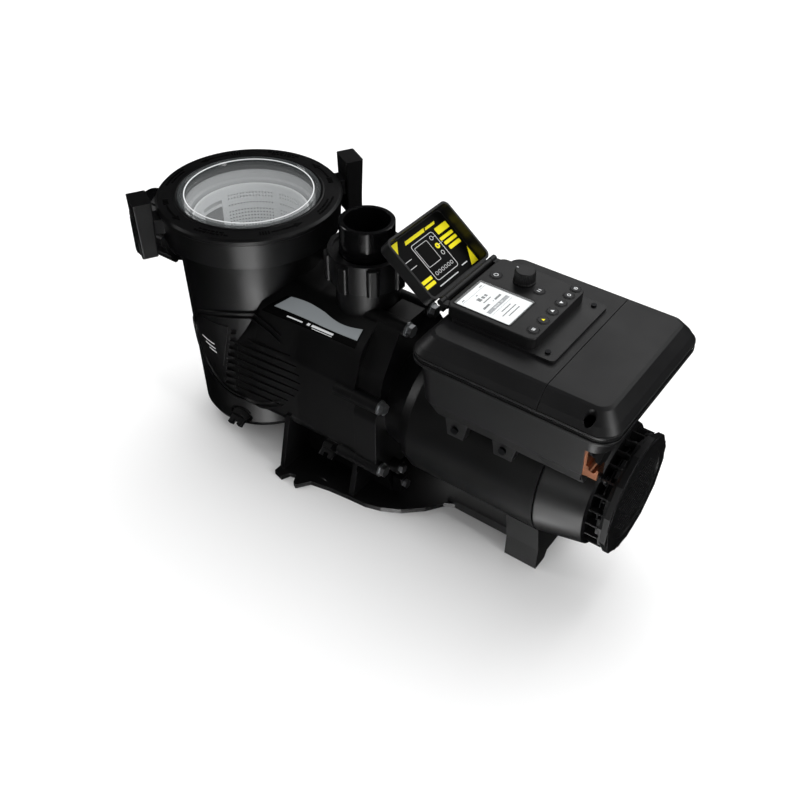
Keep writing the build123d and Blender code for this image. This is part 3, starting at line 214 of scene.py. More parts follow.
def make_finishes(colours):
    """Every finish of the pump, by its plain name."""
    # Real moulded grain is 0.1 to 0.3 mm and real turning lines 0.1 mm, too fine to show here, so each grain and
    # line width below is drawn as much coarser as it needs to show. Grain, relief and edge are in millimetres.
    plastics = (
        # glass-filled polypropylene, moulded: satin black with slow flow clouds
        ("body", "glass_filled_polypropylene", colours.body, 0.40, 2.2, 0.045, 0.8),
        # moulded ABS: satin black, smoother and a little glossier than the body
        ("ring", "moulded_abs_satin", colours.ring, 0.36, 1.8, 0.02, 0.7),
        # PVC pipe: half gloss, with narrow bright highlights down its length
        ("pipe", "pipe_pvc_half_gloss", colours.pipe, 0.2, 6.0, 0.02, 0.6),
        # spark-eroded fine grain on ABS: an even soft sheen with no sharp highlight
        ("drive", "drive_box_fine_grain", colours.drive, 0.47, 1.6, 0.05, 0.9),
        # fine moulded grain on ABS: a touch darker and smoother than the drive box
        ("control", "controller_fine_grain", colours.control, 0.42, 1.4, 0.04, 0.6),
        # satin paint on cast aluminium: faint orange peel in the highlights
        ("motor", "motor_satin_paint", colours.motor, 0.4, 5.0, 0.04, 0.6),
        # moulded nylon guard: satin, with softened slot edges
        ("guard", "guard_nylon", linear("101011"), 0.38, 2.0, 0.03, 0.7),
        # moulded rubber: dull black with hardly a highlight
        ("rubber", "moulded_rubber", linear("101010"), 0.62, 1.2, 0.05, 0.6),
        # silicone keypad rubber: dull dark grey
        ("key", "keypad_rubber", linear("242425"), 0.55, 0.9, 0.02, 0.3),
        # unfilled polypropylene: white and slightly waxy; also laid on the thin ring inside the lens's rim as a
        # painted highlight
        ("basket", "basket_polypropylene", colours.basket, 0.42, 4.0, 0.03, 0.5, 0.05),
        # moulded plastic of the inner parts: dark satin grey
        ("inner", "wet_end_plastic", linear("202122"), 0.45, 2.0, 0.03, 0.5),
        # lapped ceramic seal face: smooth cream
        ("ceramic", "seal_ceramic", linear("c9c2b0"), 0.25, 3.0, 0.01, 0.3, 0.08),
        # solder resist on laminate: half-gloss green
        ("board", "board_laminate", linear("1e5a36"), 0.35, 2.0, 0.02, 0.3, 0.15),
        # moulded component casings: satin black
        ("part_black", "component_casing", linear("15161a"), 0.35, 2.0, 0.02, 0.4),
        # printed film: flat black that hardly reflects; on the lock ring's raised marks the same flat black is partly
        # painted shade of their relief
        ("black_print_and_painted_shade", "black_film_and_painted_shade", linear("020202"), 0.5, 8.0, 0.01, 0.2, 0.25, 0.12),
        # silver ink on film: even grey with a slight sheen
        ("silver", "label_print_silver", colours.silver, 0.36, 2.5, 0.01, 0.2, 0.06),
        # yellow ink on film: flat and saturated
        ("yellow", "label_print_yellow", colours.yellow, 0.5, 2.5, 0.01, 0.1, 0.05, 0.2),
        # white ink on film: flat
        ("white", "label_print_white", colours.white, 0.42, 2.5, 0.01, 0.1, 0.04),
        # reflective display ground: bright and even, with no grain
        ("display", "display_reflector", colours.display, 0.4, 3.0, 0.0005, 0.1, 0.01),
        # dark segments of the display
        ("display_dark", "display_segment", linear("3a3e42"), 0.4, 3.0, 0.005, 0.1, 0.03),
        # half-tone segments of the display
        ("display_grey", "display_half_tone", linear("85898d"), 0.4, 3.0, 0.005, 0.1, 0.03),
    )
    for key, *settings in plastics:
        FINISH[key] = moulded(*settings)
    # turned stainless steel: bright, with fine lines
    FINISH["steel"] = metal("stainless_turned", colours.steel, 0.36, 0.8, 1)
    # black zinc on steel screws: dark metallic grey
    FINISH["dark_steel"] = metal("screw_black_zinc", linear("2a2b2d"), 0.4, 0.8, 1)
    # bare copper: warm, slightly dulled
    FINISH["copper"] = metal("copper_bare", colours.copper, 0.34, 1.5, 0)
    # stacked steel laminations: grey with a line for each sheet
    FINISH["laminations"] = metal("stacked_laminations", linear("77797c"), 0.4, 0.9, 1)
    # extruded aluminium: pale, with lines along the fins
    FINISH["sink"] = metal("extruded_aluminium", linear("b4b7ba"), 0.35, 1.0, 0)
    # moulded clear polycarbonate: clear over the basket, dark and dense at its thick rim
    FINISH["lens"] = clear_moulding(
        "clear_polycarbonate", linear("c4c7c8"), linear("4a4d4e"), 0.16, 0.55, 88, 92, 0.05)
    # frosted polycarbonate skirt: evenly milky
    FINISH["skirt"] = clear_moulding("frosted_skirt", linear("e6e8e9"), linear("e6e8e9"), 0.42, 0.42, 0, 500, 0.25)
    # thin acrylic over the display: evenly clear
    FINISH["window"] = clear_moulding("clear_window", linear("eef0f0"), linear("eef0f0"), 0.12, 0.12, 0, 500, 0.08)


NODE_FINISH = {
    "body": ("strainer_pot", "volute_housing", "seal_plate", "base"),
    "ring": ("lock_ring", "discharge_union_nut", "suction_union_nut", "pot_drain_plug", "volute_drain_plug"),
    "pipe": ("union_tailpieces",),
    "drive": ("drive_tray", "drive_lid", "wiring_cover", "cable_entry_plugs"),
    "control": ("controller_plate", "controller_housing", "control_knob", "flip_cover", "hinge_pin"),
    "motor": ("motor_frame", "motor_front_bell", "motor_rear_bell"),
    "guard": ("fan_cover",),
    "rubber": ("o_rings", "lid_gasket", "rear_foot"),
    "key": tuple(f"key_{number}" for number in range(1, 9)),
    "basket": ("basket",),
    "inner": ("diffuser", "impeller", "cooling_fan", "terminal_block"),
    "ceramic": ("seal_seat", "seal_head"),
    "board": ("circuit_boards",),
    "part_black": ("capacitors", "rotary_encoder"),
    "display": ("display_panel",),
    "dark_steel": ("drive_screws",),
    "steel": ("body_bolts", "motor_bolts", "impeller_screw", "motor_shaft",
              "bearing_balls", "bearing_inner_races", "bearing_outer_races"),
    "copper": ("stator_windings", "bonding_lug"),
    "laminations": ("rotor_core", "stator_core"),
    "sink": ("heat_sink",),
    "lens": ("lid_lens",),
    "window": ("display_window",),
}


# ---------- modelling helpers
def deselect():
    """Object mode with nothing selected."""
    if bpy.context.object and bpy.context.object.mode != "OBJECT":
        bpy.ops.object.mode_set(mode="OBJECT")
    bpy.ops.object.select_all(action="DESELECT")


def pick(*pieces):
    """Selects only these objects; the first is active."""
    deselect()
    for piece in pieces:
        piece.select_set(True)
    bpy.context.view_layer.objects.active = pieces[0]


def apply_modifiers(piece):
    pick(piece)
    for modifier in list(piece.modifiers):
        bpy.ops.object.modifier_apply(modifier=modifier.name)


def select_where(piece, kind, test):
    """Edit mode with only those parts of the kind, FACE or EDGE, that pass the test selected."""
    bpy.ops.object.mode_set(mode="EDIT")
    bpy.ops.mesh.select_mode(type=kind)
    bpy.ops.mesh.select_all(action="DESELECT")
    bpy.ops.object.mode_set(mode="OBJECT")
    for part in piece.data.polygons if kind == "FACE" else piece.data.edges:
        part.select = test(part)
    bpy.ops.object.mode_set(mode="EDIT")


def merge(piece, threshold=0.01 * MM, outward=True):
    """Merges doubled vertices and, unless told not to, turns the faces outward."""
    pick(piece)
    bpy.ops.object.mode_set(mode="EDIT")
    bpy.ops.mesh.select_all(action="SELECT")
    bpy.ops.mesh.remove_doubles(threshold=threshold)
    if outward:
        bpy.ops.mesh.normals_make_consistent(inside=False)
    bpy.ops.object.mode_set(mode="OBJECT")


def settle(piece, name, finish, body, angle=35.0):
    """Applies the place, turns the faces outward, smooths, and hands the piece to its body and finish."""
    pick(piece)
    bpy.ops.object.transform_apply(location=True, rotation=True, scale=True)
    merge(piece)
    bpy.ops.object.shade_smooth_by_angle(angle=math.radians(angle))
    piece.name = name
    piece.data.name = name
    piece.data.materials.clear()
    piece.data.materials.append(FINISH[finish])
    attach(piece, body)
    return piece


def box_piece(low, high):
    """Box between two corners, with its size applied."""
    deselect()
    bpy.ops.mesh.primitive_cube_add(
        size=1, location=[(a + b) / 2 for a, b in zip(low, high)], scale=[b - a for a, b in zip(low, high)])
    bpy.ops.object.transform_apply(location=False, rotation=False, scale=True)
    return bpy.context.object


def over(node, height):
    """Place over the middle of a CAD node, for flat shapes that read along +Y."""
    low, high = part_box(node)
    return Matrix.Translation(((low[0] + high[0]) / 2, (low[1] + high[1]) / 2, height)) @ READ_Y


def flat_shape(outlines, depth, place):
    """Flat closed outlines cut out as a sheet of that depth; its underside lies on the place's XY plane."""
    curve = bpy.data.curves.new("outline", "CURVE")
    curve.dimensions = "2D"
    curve.fill_mode = "BOTH"
    curve.extrude = depth / 2
    for outline in outlines:
        spline = curve.splines.new("POLY")
        spline.points.add(len(outline) - 1)
        for point, (x, y) in zip(spline.points, outline):
            point.co = (x, y, 0, 1)
        spline.use_cyclic_u = True
    piece = bpy.data.objects.new("outline", curve)
    bpy.context.collection.objects.link(piece)
    pick(piece)
    bpy.ops.object.convert(target="MESH")
    piece = bpy.context.object
    piece.matrix_world = place @ Matrix.Translation((0, 0, depth / 2))
    return piece


def bar(x, y, width, height, lean=0.0):
    """Outline of a bar round its middle, in metres from millimetres."""
    half_w, half_h = width / 2, height / 2
    corners = [(-half_w - lean, -half_h), (half_w - lean, -half_h), (half_w + lean, half_h), (-half_w + lean, half_h)]
    return [((x + a) * MM, (y + b) * MM) for a, b in corners]


def loop(x, y, radius, sides=24, start=0.0):
    """Outline of a circle or a regular polygon, in metres from millimetres."""
    turns = [start + 2 * math.pi * number / sides for number in range(sides)]
    return [((x + radius * math.cos(turn)) * MM, (y + radius * math.sin(turn)) * MM) for turn in turns]


def rounded(x, y, width, height, radius, steps=6):
    """Outline of a rectangle with round corners, in metres from millimetres."""
    points = []
    for corner, (side_x, side_y) in enumerate(((1, 1), (-1, 1), (-1, -1), (1, -1))):
        middle = (x + side_x * (width / 2 - radius), y + side_y * (height / 2 - radius))
        for step in range(steps + 1):
            turn = math.pi / 2 * (corner + step / steps)
            points.append(((middle[0] + radius * math.cos(turn)) * MM, (middle[1] + radius * math.sin(turn)) * MM))
    return points


def thicken(piece, thickness, offset=1, edge=0.0, segments=0):
    """Gives a sheet its thickness, and rounds its edges where an edge width is given."""
    wall = piece.modifiers.new("wall", "SOLIDIFY")
    wall.thickness = thickness
    wall.offset = offset
    if edge:
        rounding = piece.modifiers.new("edge", "BEVEL")
        rounding.width = edge
        rounding.segments = segments
    apply_modifiers(piece)


def turned_piece(profile, steps=96, place=POT_AXIS):
    """Closed profile of (radius, height) in millimetres turned a full circle about the place's Z."""
    deselect()
    bpy.ops.mesh.primitive_circle_add(vertices=len(profile), radius=1)
    piece = bpy.context.object
    for vertex, (radius, height) in zip(piece.data.vertices, profile):
        vertex.co = (radius * MM, 0, height * MM)
    screw = piece.modifiers.new("turn", "SCREW")
    screw.steps = steps
    screw.render_steps = steps
    screw.use_merge_vertices = True
    apply_modifiers(piece)
    piece.matrix_world = place
    return piece


def pressed_grid(cells, mapping, place, target, lift):
    """Grid whose vertices the mapping lays out on the place's XY plane, pressed along -Z onto the target wall."""
    deselect()
    bpy.ops.mesh.primitive_grid_add(x_subdivisions=cells[0], y_subdivisions=cells[1], size=1)
    piece = bpy.context.object
    for vertex in piece.data.vertices:
        x, y = mapping(vertex.co.x + 0.5, vertex.co.y + 0.5)
        vertex.co = (x * MM, y * MM, 0)
    piece.matrix_world = place
    press = piece.modifiers.new("press", "SHRINKWRAP")
    press.wrap_method = "PROJECT"
    press.use_project_z = True
    press.use_positive_direction = False
    press.use_negative_direction = True
    press.target = target
    press.offset = lift
    apply_modifiers(piece)
    return piece


def wall_patch(cells, mapping, place, target, lift, thickness):
    """Pressed grid with a thickness."""
    piece = pressed_grid(cells, mapping, place, target, lift)
    thicken(piece, thickness)
    return piece


def joined_copy(*names):
    """One merged working copy of CAD nodes, to press pieces onto; deleted after use."""
    copies = []
    for name in names:
        copy = bpy.data.objects.new("wall_copy", NODES[name].data.copy())
        bpy.context.collection.objects.link(copy)
        copies.append(copy)
    pick(*copies)
    bpy.ops.object.join()
    merge(copies[0], 0.001 * MM, outward=False)
    return copies[0]


def smooth_loop(points, steps=8):
    """Closed smooth outline through the points."""
    count = len(points)
    result = []
    for number in range(count):
        before, first, second, after = (points[(number + shift) % count] for shift in (-1, 0, 1, 2))
        for step in range(steps):
            t = step / steps
            result.append(tuple(
                0.5 * (2 * b + (c - a) * t + (2 * a - 5 * b + 4 * c - d) * t ** 2 + (3 * b - a - 3 * c + d) * t ** 3)
                for a, b, c, d in zip(before, first, second, after)))
    return result


# ---------- operators
class PumpPiece:
    bl_options = {"REGISTER", "UNDO"}

    @property
    def sizes(self):
        return bpy.context.scene.pump_sizes


class PUMP_OT_finishes(PumpPiece, bpy.types.Operator):
    """Makes every finish and gives each CAD node its own"""
    bl_idname = "pump.finishes"
    bl_label = "Finishes"

    def execute(self, context):
        make_finishes(context.scene.pump_colours)
        left = set(NODES)
        for finish, names in NODE_FINISH.items():
            for name in names:
                node = NODES[name]
                node.data.materials.clear()
                node.data.materials.append(FINISH[finish])
                left.discard(name)
        if left:
            raise RuntimeError(f"no finish for {sorted(left)}")
        return {"FINISHED"}


class PUMP_OT_basket(PumpPiece, bpy.types.Operator):
    """Strainer basket with a perforated wall, a ribbed floor and a raised handle ring"""
    bl_idname = "pump.basket"
    bl_label = "Strainer basket"

    def execute(self, context):
        floor_z, ledge_z = (corner[2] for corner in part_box("basket"))
        wall_low, wall_high = floor_z + 0.002, ledge_z + 0.021
        columns, rows = 108, 53
        length, height = 0.54, 0.24   # the wall laid flat, before it is wrapped round the pot's axis
        deselect()
        bpy.ops.mesh.primitive_grid_add(x_subdivisions=columns, y_subdivisions=rows, size=1)
        wall = bpy.context.object
        wall.scale = (length, height, 1)
        bpy.ops.object.transform_apply(location=False, rotation=False, scale=True)

        def cell(face):
            column = int((face.center.x / length + 0.5) * columns)
            return min(column, columns - 1 - column), column, int((face.center.y / height + 0.5) * rows)

        def in_window(face):
            beside, column, row = cell(face)
            return beside < 4 and 26 <= row <= 49

        def in_holes(face):
            beside, column, row = cell(face)
            ribs = (column + 5) % 18 < 2 or (row + 2) % 12 == 0
            return 3 <= row <= 50 and not ribs and not (beside < 6 and 24 <= row)

        for chosen, inset in ((in_window, 0), (in_holes, self.sizes.hole_border)):
            select_where(wall, "FACE", chosen)
            if inset:
                bpy.ops.mesh.inset(thickness=inset, use_individual=True)
            bpy.ops.mesh.delete(type="FACE")
            bpy.ops.object.mode_set(mode="OBJECT")
        for vertex in wall.data.vertices:
            turn = 2 * math.pi * vertex.co.x / length
            share = vertex.co.y / height + 0.5
            radius = (74.0 + 6.2 * share) * MM
            vertex.co = (POT_X + radius * math.cos(turn), radius * math.sin(turn),
                         wall_low + (wall_high - wall_low) * share)
        thicken(wall, self.sizes.basket_wall, 0)
        f, t = floor_z / MM, ledge_z / MM
        floor = turned_piece([(0, f), (74.6, f), (75.2, f + 1), (74.6, f + 4), (71, f + 4), (69, f + 2.6),
                              (50, f + 2.6), (49, f + 4), (46, f + 4), (45, f + 2.6), (22, f + 2.6), (21, f + 4),
                              (18, f + 4), (17, f + 2.6), (0, f + 2.6)])
        rim = turned_piece([(79.4, t - 6), (82, t - 4.7), (96.4, t - 4.7), (97, t - 4), (97, t - 1), (96.4, t),
                            (82, t - 2), (79.4, t - 1)])
        collar = turned_piece([(81.6, t + 17), (82, t + 20), (81.2, t + 22), (79, t + 22), (78.4, t + 20),
                               (78.6, t + 17)])
        pick(floor, rim, collar)
        bpy.ops.object.transform_apply(location=True, rotation=True, scale=True)
        pick(wall, floor, rim, collar)
        bpy.ops.object.join()
        settle(wall, "basket_shell", "basket", "basket")
        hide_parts("basket")
        return {"FINISHED"}


class PUMP_OT_lens_skirt(PumpPiece, bpy.types.Operator):
    """Stepped clear skirt under the lid's lens, and a thin white ring inside the lens's rim as a painted highlight
    line
    """
    bl_idname = "pump.lens_skirt"
    bl_label = "Lens skirt"

    def execute(self, context):
        low, top = LENS_LOW, LENS_TOP
        skirt = turned_piece(
            [(90.6, low + 1.8), (90.6, low - 11), (87.4, low - 13), (87.2, low - 32), (85.2, low - 32),
             (85.0, low - 11.6), (88.4, low - 9.6), (88.4, low + 1.8)])
        settle(skirt, "lens_skirt", "skirt", "lid")
        # thin white ring in the basket's finish inside the lens's rim: a painted highlight line
        bead = turned_piece(
            [(88.0, top - 0.2), (88.0, top + 0.5), (88.4, top + 0.9), (89.2, top + 0.9), (89.6, top + 0.5),
             (89.6, top - 0.2)], 128)
        settle(bead, "lens_painted_highlight", "basket", "lid")
        return {"FINISHED"}


class PUMP_OT_ring_marks(PumpPiece, bpy.types.Operator):
    """Raised turning arrows, ticks and bars round the top of the lock ring, darker than the ring: partly their own
    black, partly painted shade of their relief
    """
    bl_idname = "pump.ring_marks"
    bl_label = "Lock ring marks"

    def execute(self, context):
        top = LENS_TOP - 2   # flat top of the ring
        outlines = []

        def polar(radius, degrees):
            turn = math.radians(degrees)
            return radius * MM * math.cos(turn), radius * MM * math.sin(turn)

        def arc_mark(start, end, inner, outer):
            steps = max(2, int(abs(end - start) / 2))
            turns = [start + (end - start) * number / steps for number in range(steps + 1)]
            outlines.append([polar(inner, turn) for turn in turns] + [polar(outer, turn) for turn in reversed(turns)])

        for number in range(8):
            start = number * 45 + 12
            if number % 2:
                arc_mark(start, start + 17, 112.6, 115.0)
                outlines.append([polar(109.4, start + 17), polar(118.2, start + 17), polar(113.8, start + 23)])
                for tick in range(4):
                    arc_mark(start - 8 + tick * 1.9, start - 7.1 + tick * 1.9, 110.5, 117.5)
            else:
                for at, inner, outer, widths in (
                        (start - 7, 115.6, 118.4, (3.1, 1.7, 2.6, 1.1, 3.6, 2.2, 1.3, 2.8)),
                        (start - 5, 110.2, 112.8, (2.2, 3.4, 1.4, 2.6, 1.8, 3.0))):
                    for width in widths:
                        arc_mark(at, at + width, inner, outer)
                        at += width + 0.8
        marks = flat_shape(outlines, self.sizes.mark_height, Matrix.Translation((POT_X, 0, top * MM)))
        # the raised marks take the flat black of printed film, darker than the ring: partly their own colour, partly
        # painted shade of the relief
        settle(marks, "ring_marks", "black_print_and_painted_shade", "lock_ring")
        band = turned_piece([(99.4, top), (103.4, top), (103.4, top + 0.5), (102.8, top + 0.9), (100.0, top + 0.9),
                             (99.4, top + 0.5)], 128)
        settle(band, "ring_inner_bead", "ring", "lock_ring")
        return {"FINISHED"}


# badge outline across the pot and the housing, (x, z) in millimetres
BADGE_OUTLINE = [
    (-252, 182), (-245, 201), (-226, 222), (-180, 239), (-136, 243), (-92, 232), (-62, 211), (-49, 184),
    (-53, 152), (-82, 115), (-120, 91), (-158, 79), (-196, 90), (-226, 116), (-246, 150),
]
BADGE_MIDDLE = (-150.0, 163.0)
BADGE_OPEN_X = -84.0   # the rim stops short of here, so that its right end is open


def badge_loop(shift):
    """Smooth badge outline with every point moved out from its middle by the shift, in metres."""
    points = []
    for x, z in smooth_loop(BADGE_OUTLINE):
        away = Vector((x - BADGE_MIDDLE[0], z - BADGE_MIDDLE[1]))
        place = away * (1 + shift / away.length)
        points.append(((BADGE_MIDDLE[0] + place.x) * MM, (BADGE_MIDDLE[1] + place.y) * MM))
    return points


def badge_arc(middle, width):
    """Both edges of a rim that runs round the badge's left end and thins out to nothing on its right."""
    inner, outer, centre = badge_loop(middle - width / 2), badge_loop(middle + width / 2), badge_loop(middle)
    count = len(centre)
    start = next(at for at in range(count)
                 if centre[at][0] < BADGE_OPEN_X * MM <= centre[at - 1][0] and centre[at][1] < BADGE_MIDDLE[1] * MM)
    first, second = [], []
    for step in range(count):
        at = (start + step) % count
        if centre[at][0] > BADGE_OPEN_X * MM:
            break
        share = max(0.12, min(1.0, (BADGE_OPEN_X * MM - centre[at][0]) / 0.05))
        for edge, kept in ((inner, first), (outer, second)):
            kept.append(tuple(c + (e - c) * share for c, e in zip(centre[at], edge[at])))
    return first, second


def flank_place(side):
    """Upright plane beside a flank: its X along the shaft, its Y up, its Z away from the pump."""
    near = Matrix.Translation((0, -0.16, 0)) @ Matrix.Rotation(math.pi / 2, 4, "X")
    return near if side < 0 else Matrix.Rotation(math.pi, 4, "Z") @ near


class PUMP_OT_badges(PumpPiece, bpy.types.Operator):
    """Double rims and smooth plates of the badges on both flanks"""
    bl_idname = "pump.badges"
    bl_label = "Flank badges"

    def execute(self, context):
        wall = joined_copy("strainer_pot", "volute_housing")
        for side, word in ((-1, "near"), (1, "far")):
            place = flank_place(side)
            mirror = -side
            for number, (outside, inside) in enumerate(((2.6, -2.0), (-6.2, -8.8)), start=1):
                first, second = badge_arc((outside + inside) / 2, outside - inside)
                count = len(first) - 1

                def rim_map(s, t):
                    inner, outer = first[round(s * count)], second[round(s * count)]
                    x, z = ((a * (1 - t) + b * t) / MM for a, b in zip(inner, outer))
                    return mirror * x, z

                sunk = 0.4 * MM
                rim = pressed_grid((count, 2), rim_map, place, wall, -sunk)
                merge(rim, 0.02 * MM)
                outward = 1 if rim.data.polygons[0].normal.z > 0 else -1
                thicken(rim, self.sizes.rim_height + sunk, outward, 0.6 * MM, 2)
                settle(rim, f"badge_rim_{word}_{number}", "body", "pump")
            heights, lefts = zip(*sorted((z / MM, x / MM) for x, z in badge_loop(-9.0) if x / MM < -150))

            def plate_map(s, t):
                z = 137 + (216 - 137) * t
                start = np.interp(z, heights, lefts)
                end = -176 - 0.23 * (208 - z)
                x = start + (max(end, start + 2) - start) * s
                return mirror * x, z

            plate = wall_patch((28, 28), plate_map, place, wall, -0.0002, 0.0013)
            settle(plate, f"badge_plate_{word}", "control", "pump")
            bars = ((26, -216, 176), (20, -212, 168), (14, -208, 161))
            for number, (width, middle, z) in enumerate(bars, start=1):
                mark = wall_patch(
                    (12, 1),
                    lambda s, t, w=width, m=middle, h=z: (
                        mirror * (m + w * (s - 0.5)), h - 4 * (s - 0.5) + 1.6 * (t - 0.5)),
                    place, wall, 0.0011, 0.0003)
                settle(mark, f"badge_mark_{word}_{number}", "white", "pump")
        pick(wall)
        bpy.ops.object.delete()
        return {"FINISHED"}


class PUMP_OT_side_label(PumpPiece, bpy.types.Operator):
    """Long label on the near shoulder of the housing: black film with a silver wave and plain bars"""
    bl_idname = "pump.side_label"
    bl_label = "Side label"

    def execute(self, context):
        wall = joined_copy("volute_housing")
        lean = math.radians(52)
        up = Vector((0, math.cos(lean), math.sin(lean)))
        out = Vector((1, 0, 0)).cross(up)
        origin = Vector((0, -0.0660, 0.2590)) + out * 0.04
        place = Matrix(((1, up.x, out.x, origin.x), (0, up.y, out.y, origin.y), (0, up.z, out.z, origin.z),
                        (0, 0, 0, 1)))
        low_left, low_right = (-125, -11), (32, -6)
        high_left, high_right = (-98, 21), (31, 24)

        def film_map(s, t):
            low, high = ([a + (b - a) * s for a, b in zip(*ends)]
                         for ends in ((low_left, low_right), (high_left, high_right)))
            wave = 0.1 * math.sin(math.pi * min(1, 2 * s)) - 0.17 * math.sin(math.pi * max(0, 2 * s - 1)) - 0.08 * s
            return low[0] + (high[0] - low[0]) * t, low[1] + (high[1] - low[1]) * t * (1 + wave * t)

        def silver_map(s, t):
            return film_map(0.05 + 0.94 * s, 0.37 + 0.62 * t)   # the silver fills the film's upper part

        film = wall_patch((48, 12), film_map, place, wall, 0.0002, self.sizes.print_thickness)
        settle(film, "side_label_film", "black_print_and_painted_shade", "pump")
        silver = wall_patch((48, 8), silver_map, place, wall, 0.0005, self.sizes.print_thickness)
        settle(silver, "side_label_wave", "silver", "pump")
        for number, (start, width, low, high) in enumerate(
                ((0.24, 0.17, 0.15, 0.21), (0.46, 0.03, 0.14, 0.26), (0.51, 0.24, 0.15, 0.26),
                 (0.53, 0.22, 0.07, 0.10)), start=1):
            mark = wall_patch(
                (10, 1), lambda s, t, a=start, w=width, b=low, c=high: film_map(a + w * s, b + (c - b) * t),
                place, wall, 0.0005, self.sizes.print_thickness)
            settle(mark, f"side_label_bar_{number}", "white", "pump")
        pick(wall)
        bpy.ops.object.delete()
        return {"FINISHED"}


class PUMP_OT_knob(PumpPiece, bpy.types.Operator):
    """Control knob with ribs round its grip, a dished top and a pointer"""
    bl_idname = "pump.knob"
    bl_label = "Control knob"

    def execute(self, context):
        low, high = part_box("control_knob")
        middle_x, middle_y = (low[0] + high[0]) / 2, (low[1] + high[1]) / 2
        top, bottom = high[2] / MM, CONTROL_TOP / MM + 0.4
        ribs = self.sizes.knob_ribs
        knob = turned_piece(
            [(0, bottom), (13.6, bottom), (13.95, bottom + 0.5), (13.95, bottom + 1.6), (13.3, bottom + 2.2),
             (13.0, top - 2.4), (12.4, top - 0.7), (11.4, top), (9.4, top - 0.1), (8.6, top - 0.7), (0, top - 0.9)],
            ribs * 4, Matrix.Translation((middle_x, middle_y, 0)))
        for vertex in knob.data.vertices:
            radius = math.hypot(vertex.co.x, vertex.co.y)
            height = vertex.co.z / MM
            if radius > 12.2 * MM and bottom + 1.9 < height < top - 0.4:
                turn = round(math.atan2(vertex.co.y, vertex.co.x) / (2 * math.pi) * ribs * 4)
                if turn % 4 in (0, 1):
                    vertex.co.x *= 0.955
                    vertex.co.y *= 0.955
        settle(knob, "knob_grip", "control", "knob", 28)
        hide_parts("control_knob")
        pointer = flat_shape(
            [bar(0, 10.9, 1.2, 2.4)], 0.00025, over("control_knob", high[2] - 0.0002))
        settle(pointer, "knob_pointer", "white", "knob")
        return {"FINISHED"}


class PUMP_OT_display(PumpPiece, bpy.types.Operator):
    """Shapes on the display and the bead round its window"""
    bl_idname = "pump.display"
    bl_label = "Display"

    def execute(self, context):
        middle = over("display_panel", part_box("display_panel")[1][2] + 0.00001)
        thin = 0.00007
        dark = [bar(-19, 31.5, 5, 1.4), bar(19, 31.5, 6, 1.4), bar(0, 24.6, 3, 1.6),
                bar(-5.5, 17.5, 5.4, 6.2), bar(1.5, 16.6, 4.2, 4.4), bar(7.2, 16.6, 3.6, 4.4),
                bar(0, 10.2, 16, 1.6), bar(-12, 3.4, 13, 3.0), bar(3.2, 3.4, 2.6, 1.0), bar(13, 3.4, 13, 3.0),
                bar(0, -16, 20, 1.5), bar(-2, -21.5, 30, 1.5), bar(0, -27, 24, 1.5)]
        grey = [bar(0, -5.2, 44, 5.6), bar(0, 28.6, 48, 0.5), bar(0, -10.8, 44, 0.5)]
        pale = [bar(-3, -5.2, 12, 2.2), bar(8, -5.2, 5, 2.2)]
        for name, shapes, finish, lift in (
                ("display_segments", dark, "display_dark", 0), ("display_bands", grey, "display_grey", 0),
                ("display_knockout", pale, "display", 0.00005)):
            piece = flat_shape(shapes, thin - lift * 0.6, middle @ Matrix.Translation((0, 0, lift)))
            settle(piece, name, finish, "pump")
        window_low, window_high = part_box("display_window")
        width = (window_high[1] - window_low[1]) / MM
        height = (window_high[0] - window_low[0]) / MM
        bead = flat_shape(
            [rounded(0, 0, width + 3.4, height + 3.4, 3.4), rounded(0, 0, width + 0.5, height + 0.5, 2.1)],
            0.0005, over("display_window", CONTROL_TOP))
        settle(bead, "display_bead", "control", "pump")
        return {"FINISHED"}


class PUMP_OT_key_icons(PumpPiece, bpy.types.Operator):
    """Plain printed signs on the eight keys and a raised bead round each key"""
    bl_idname = "pump.key_icons"
    bl_label = "Key signs"

    def execute(self, context):
        signs = {
            1: ([loop(0, 0, 3.0), loop(0, 0, 2.2), bar(0, 1.6, 0.8, 3.4)], "white"),
            2: ([bar(-1.8, 0, 1.0, 4.2), bar(1.8, 0, 1.0, 4.2)], "white"),
            3: ([bar(0, 1.4, 4.6, 0.8), bar(0, 0, 4.6, 0.8), bar(0, -1.4, 4.6, 0.8)], "white"),
            4: ([loop(0, 0, 2.6, 3, math.pi / 2)], "yellow"),
            5: ([loop(0, 0, 2.8, 3, math.pi / 2)], "white"),
            6: ([loop(0, 0, 2.8, 3, -math.pi / 2)], "white"),
            7: ([loop(0, 0, 2.4), loop(0, 0, 1.6)], "white"),
            8: ([loop(0, 0, 2.4), loop(0, 0, 1.6), bar(0, 0, 1.2, 1.2)], "white"),
        }
        for number, (shapes, finish) in signs.items():
            key = f"key_{number}"
            low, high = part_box(key)
            radius = (high[0] - low[0]) / MM / 2
            sign = flat_shape(shapes, 0.00012, over(key, high[2]))
            settle(sign, f"key_sign_{number}", finish, key)
            bead = flat_shape([loop(0, 0, radius + 1.5, 40), loop(0, 0, radius + 0.5, 40)], 0.0004,
                              over(key, CONTROL_TOP))
            settle(bead, f"key_bead_{number}", "control", "pump")
        return {"FINISHED"}


COVER_OPEN = 143.0   # degrees between the open flip cover and the controller's face
HINGE = sum(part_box("hinge_pin"), Vector()) / 2


def cover_place(depth):
    """Plane inside the open flip cover: X along the hinge, Y away from it, Z out of the cover."""
    turn = math.radians(COVER_OPEN)
    away = Vector((math.cos(turn), 0, math.sin(turn)))
    out = Vector((math.sin(turn), 0, -math.cos(turn)))
    origin = HINGE + away * 0.0505 - out * depth
    return Matrix(((0, away.x, out.x, origin.x), (1, away.y, out.y, origin.y), (0, away.z, out.z, origin.z),
                   (0, 0, 0, 1)))


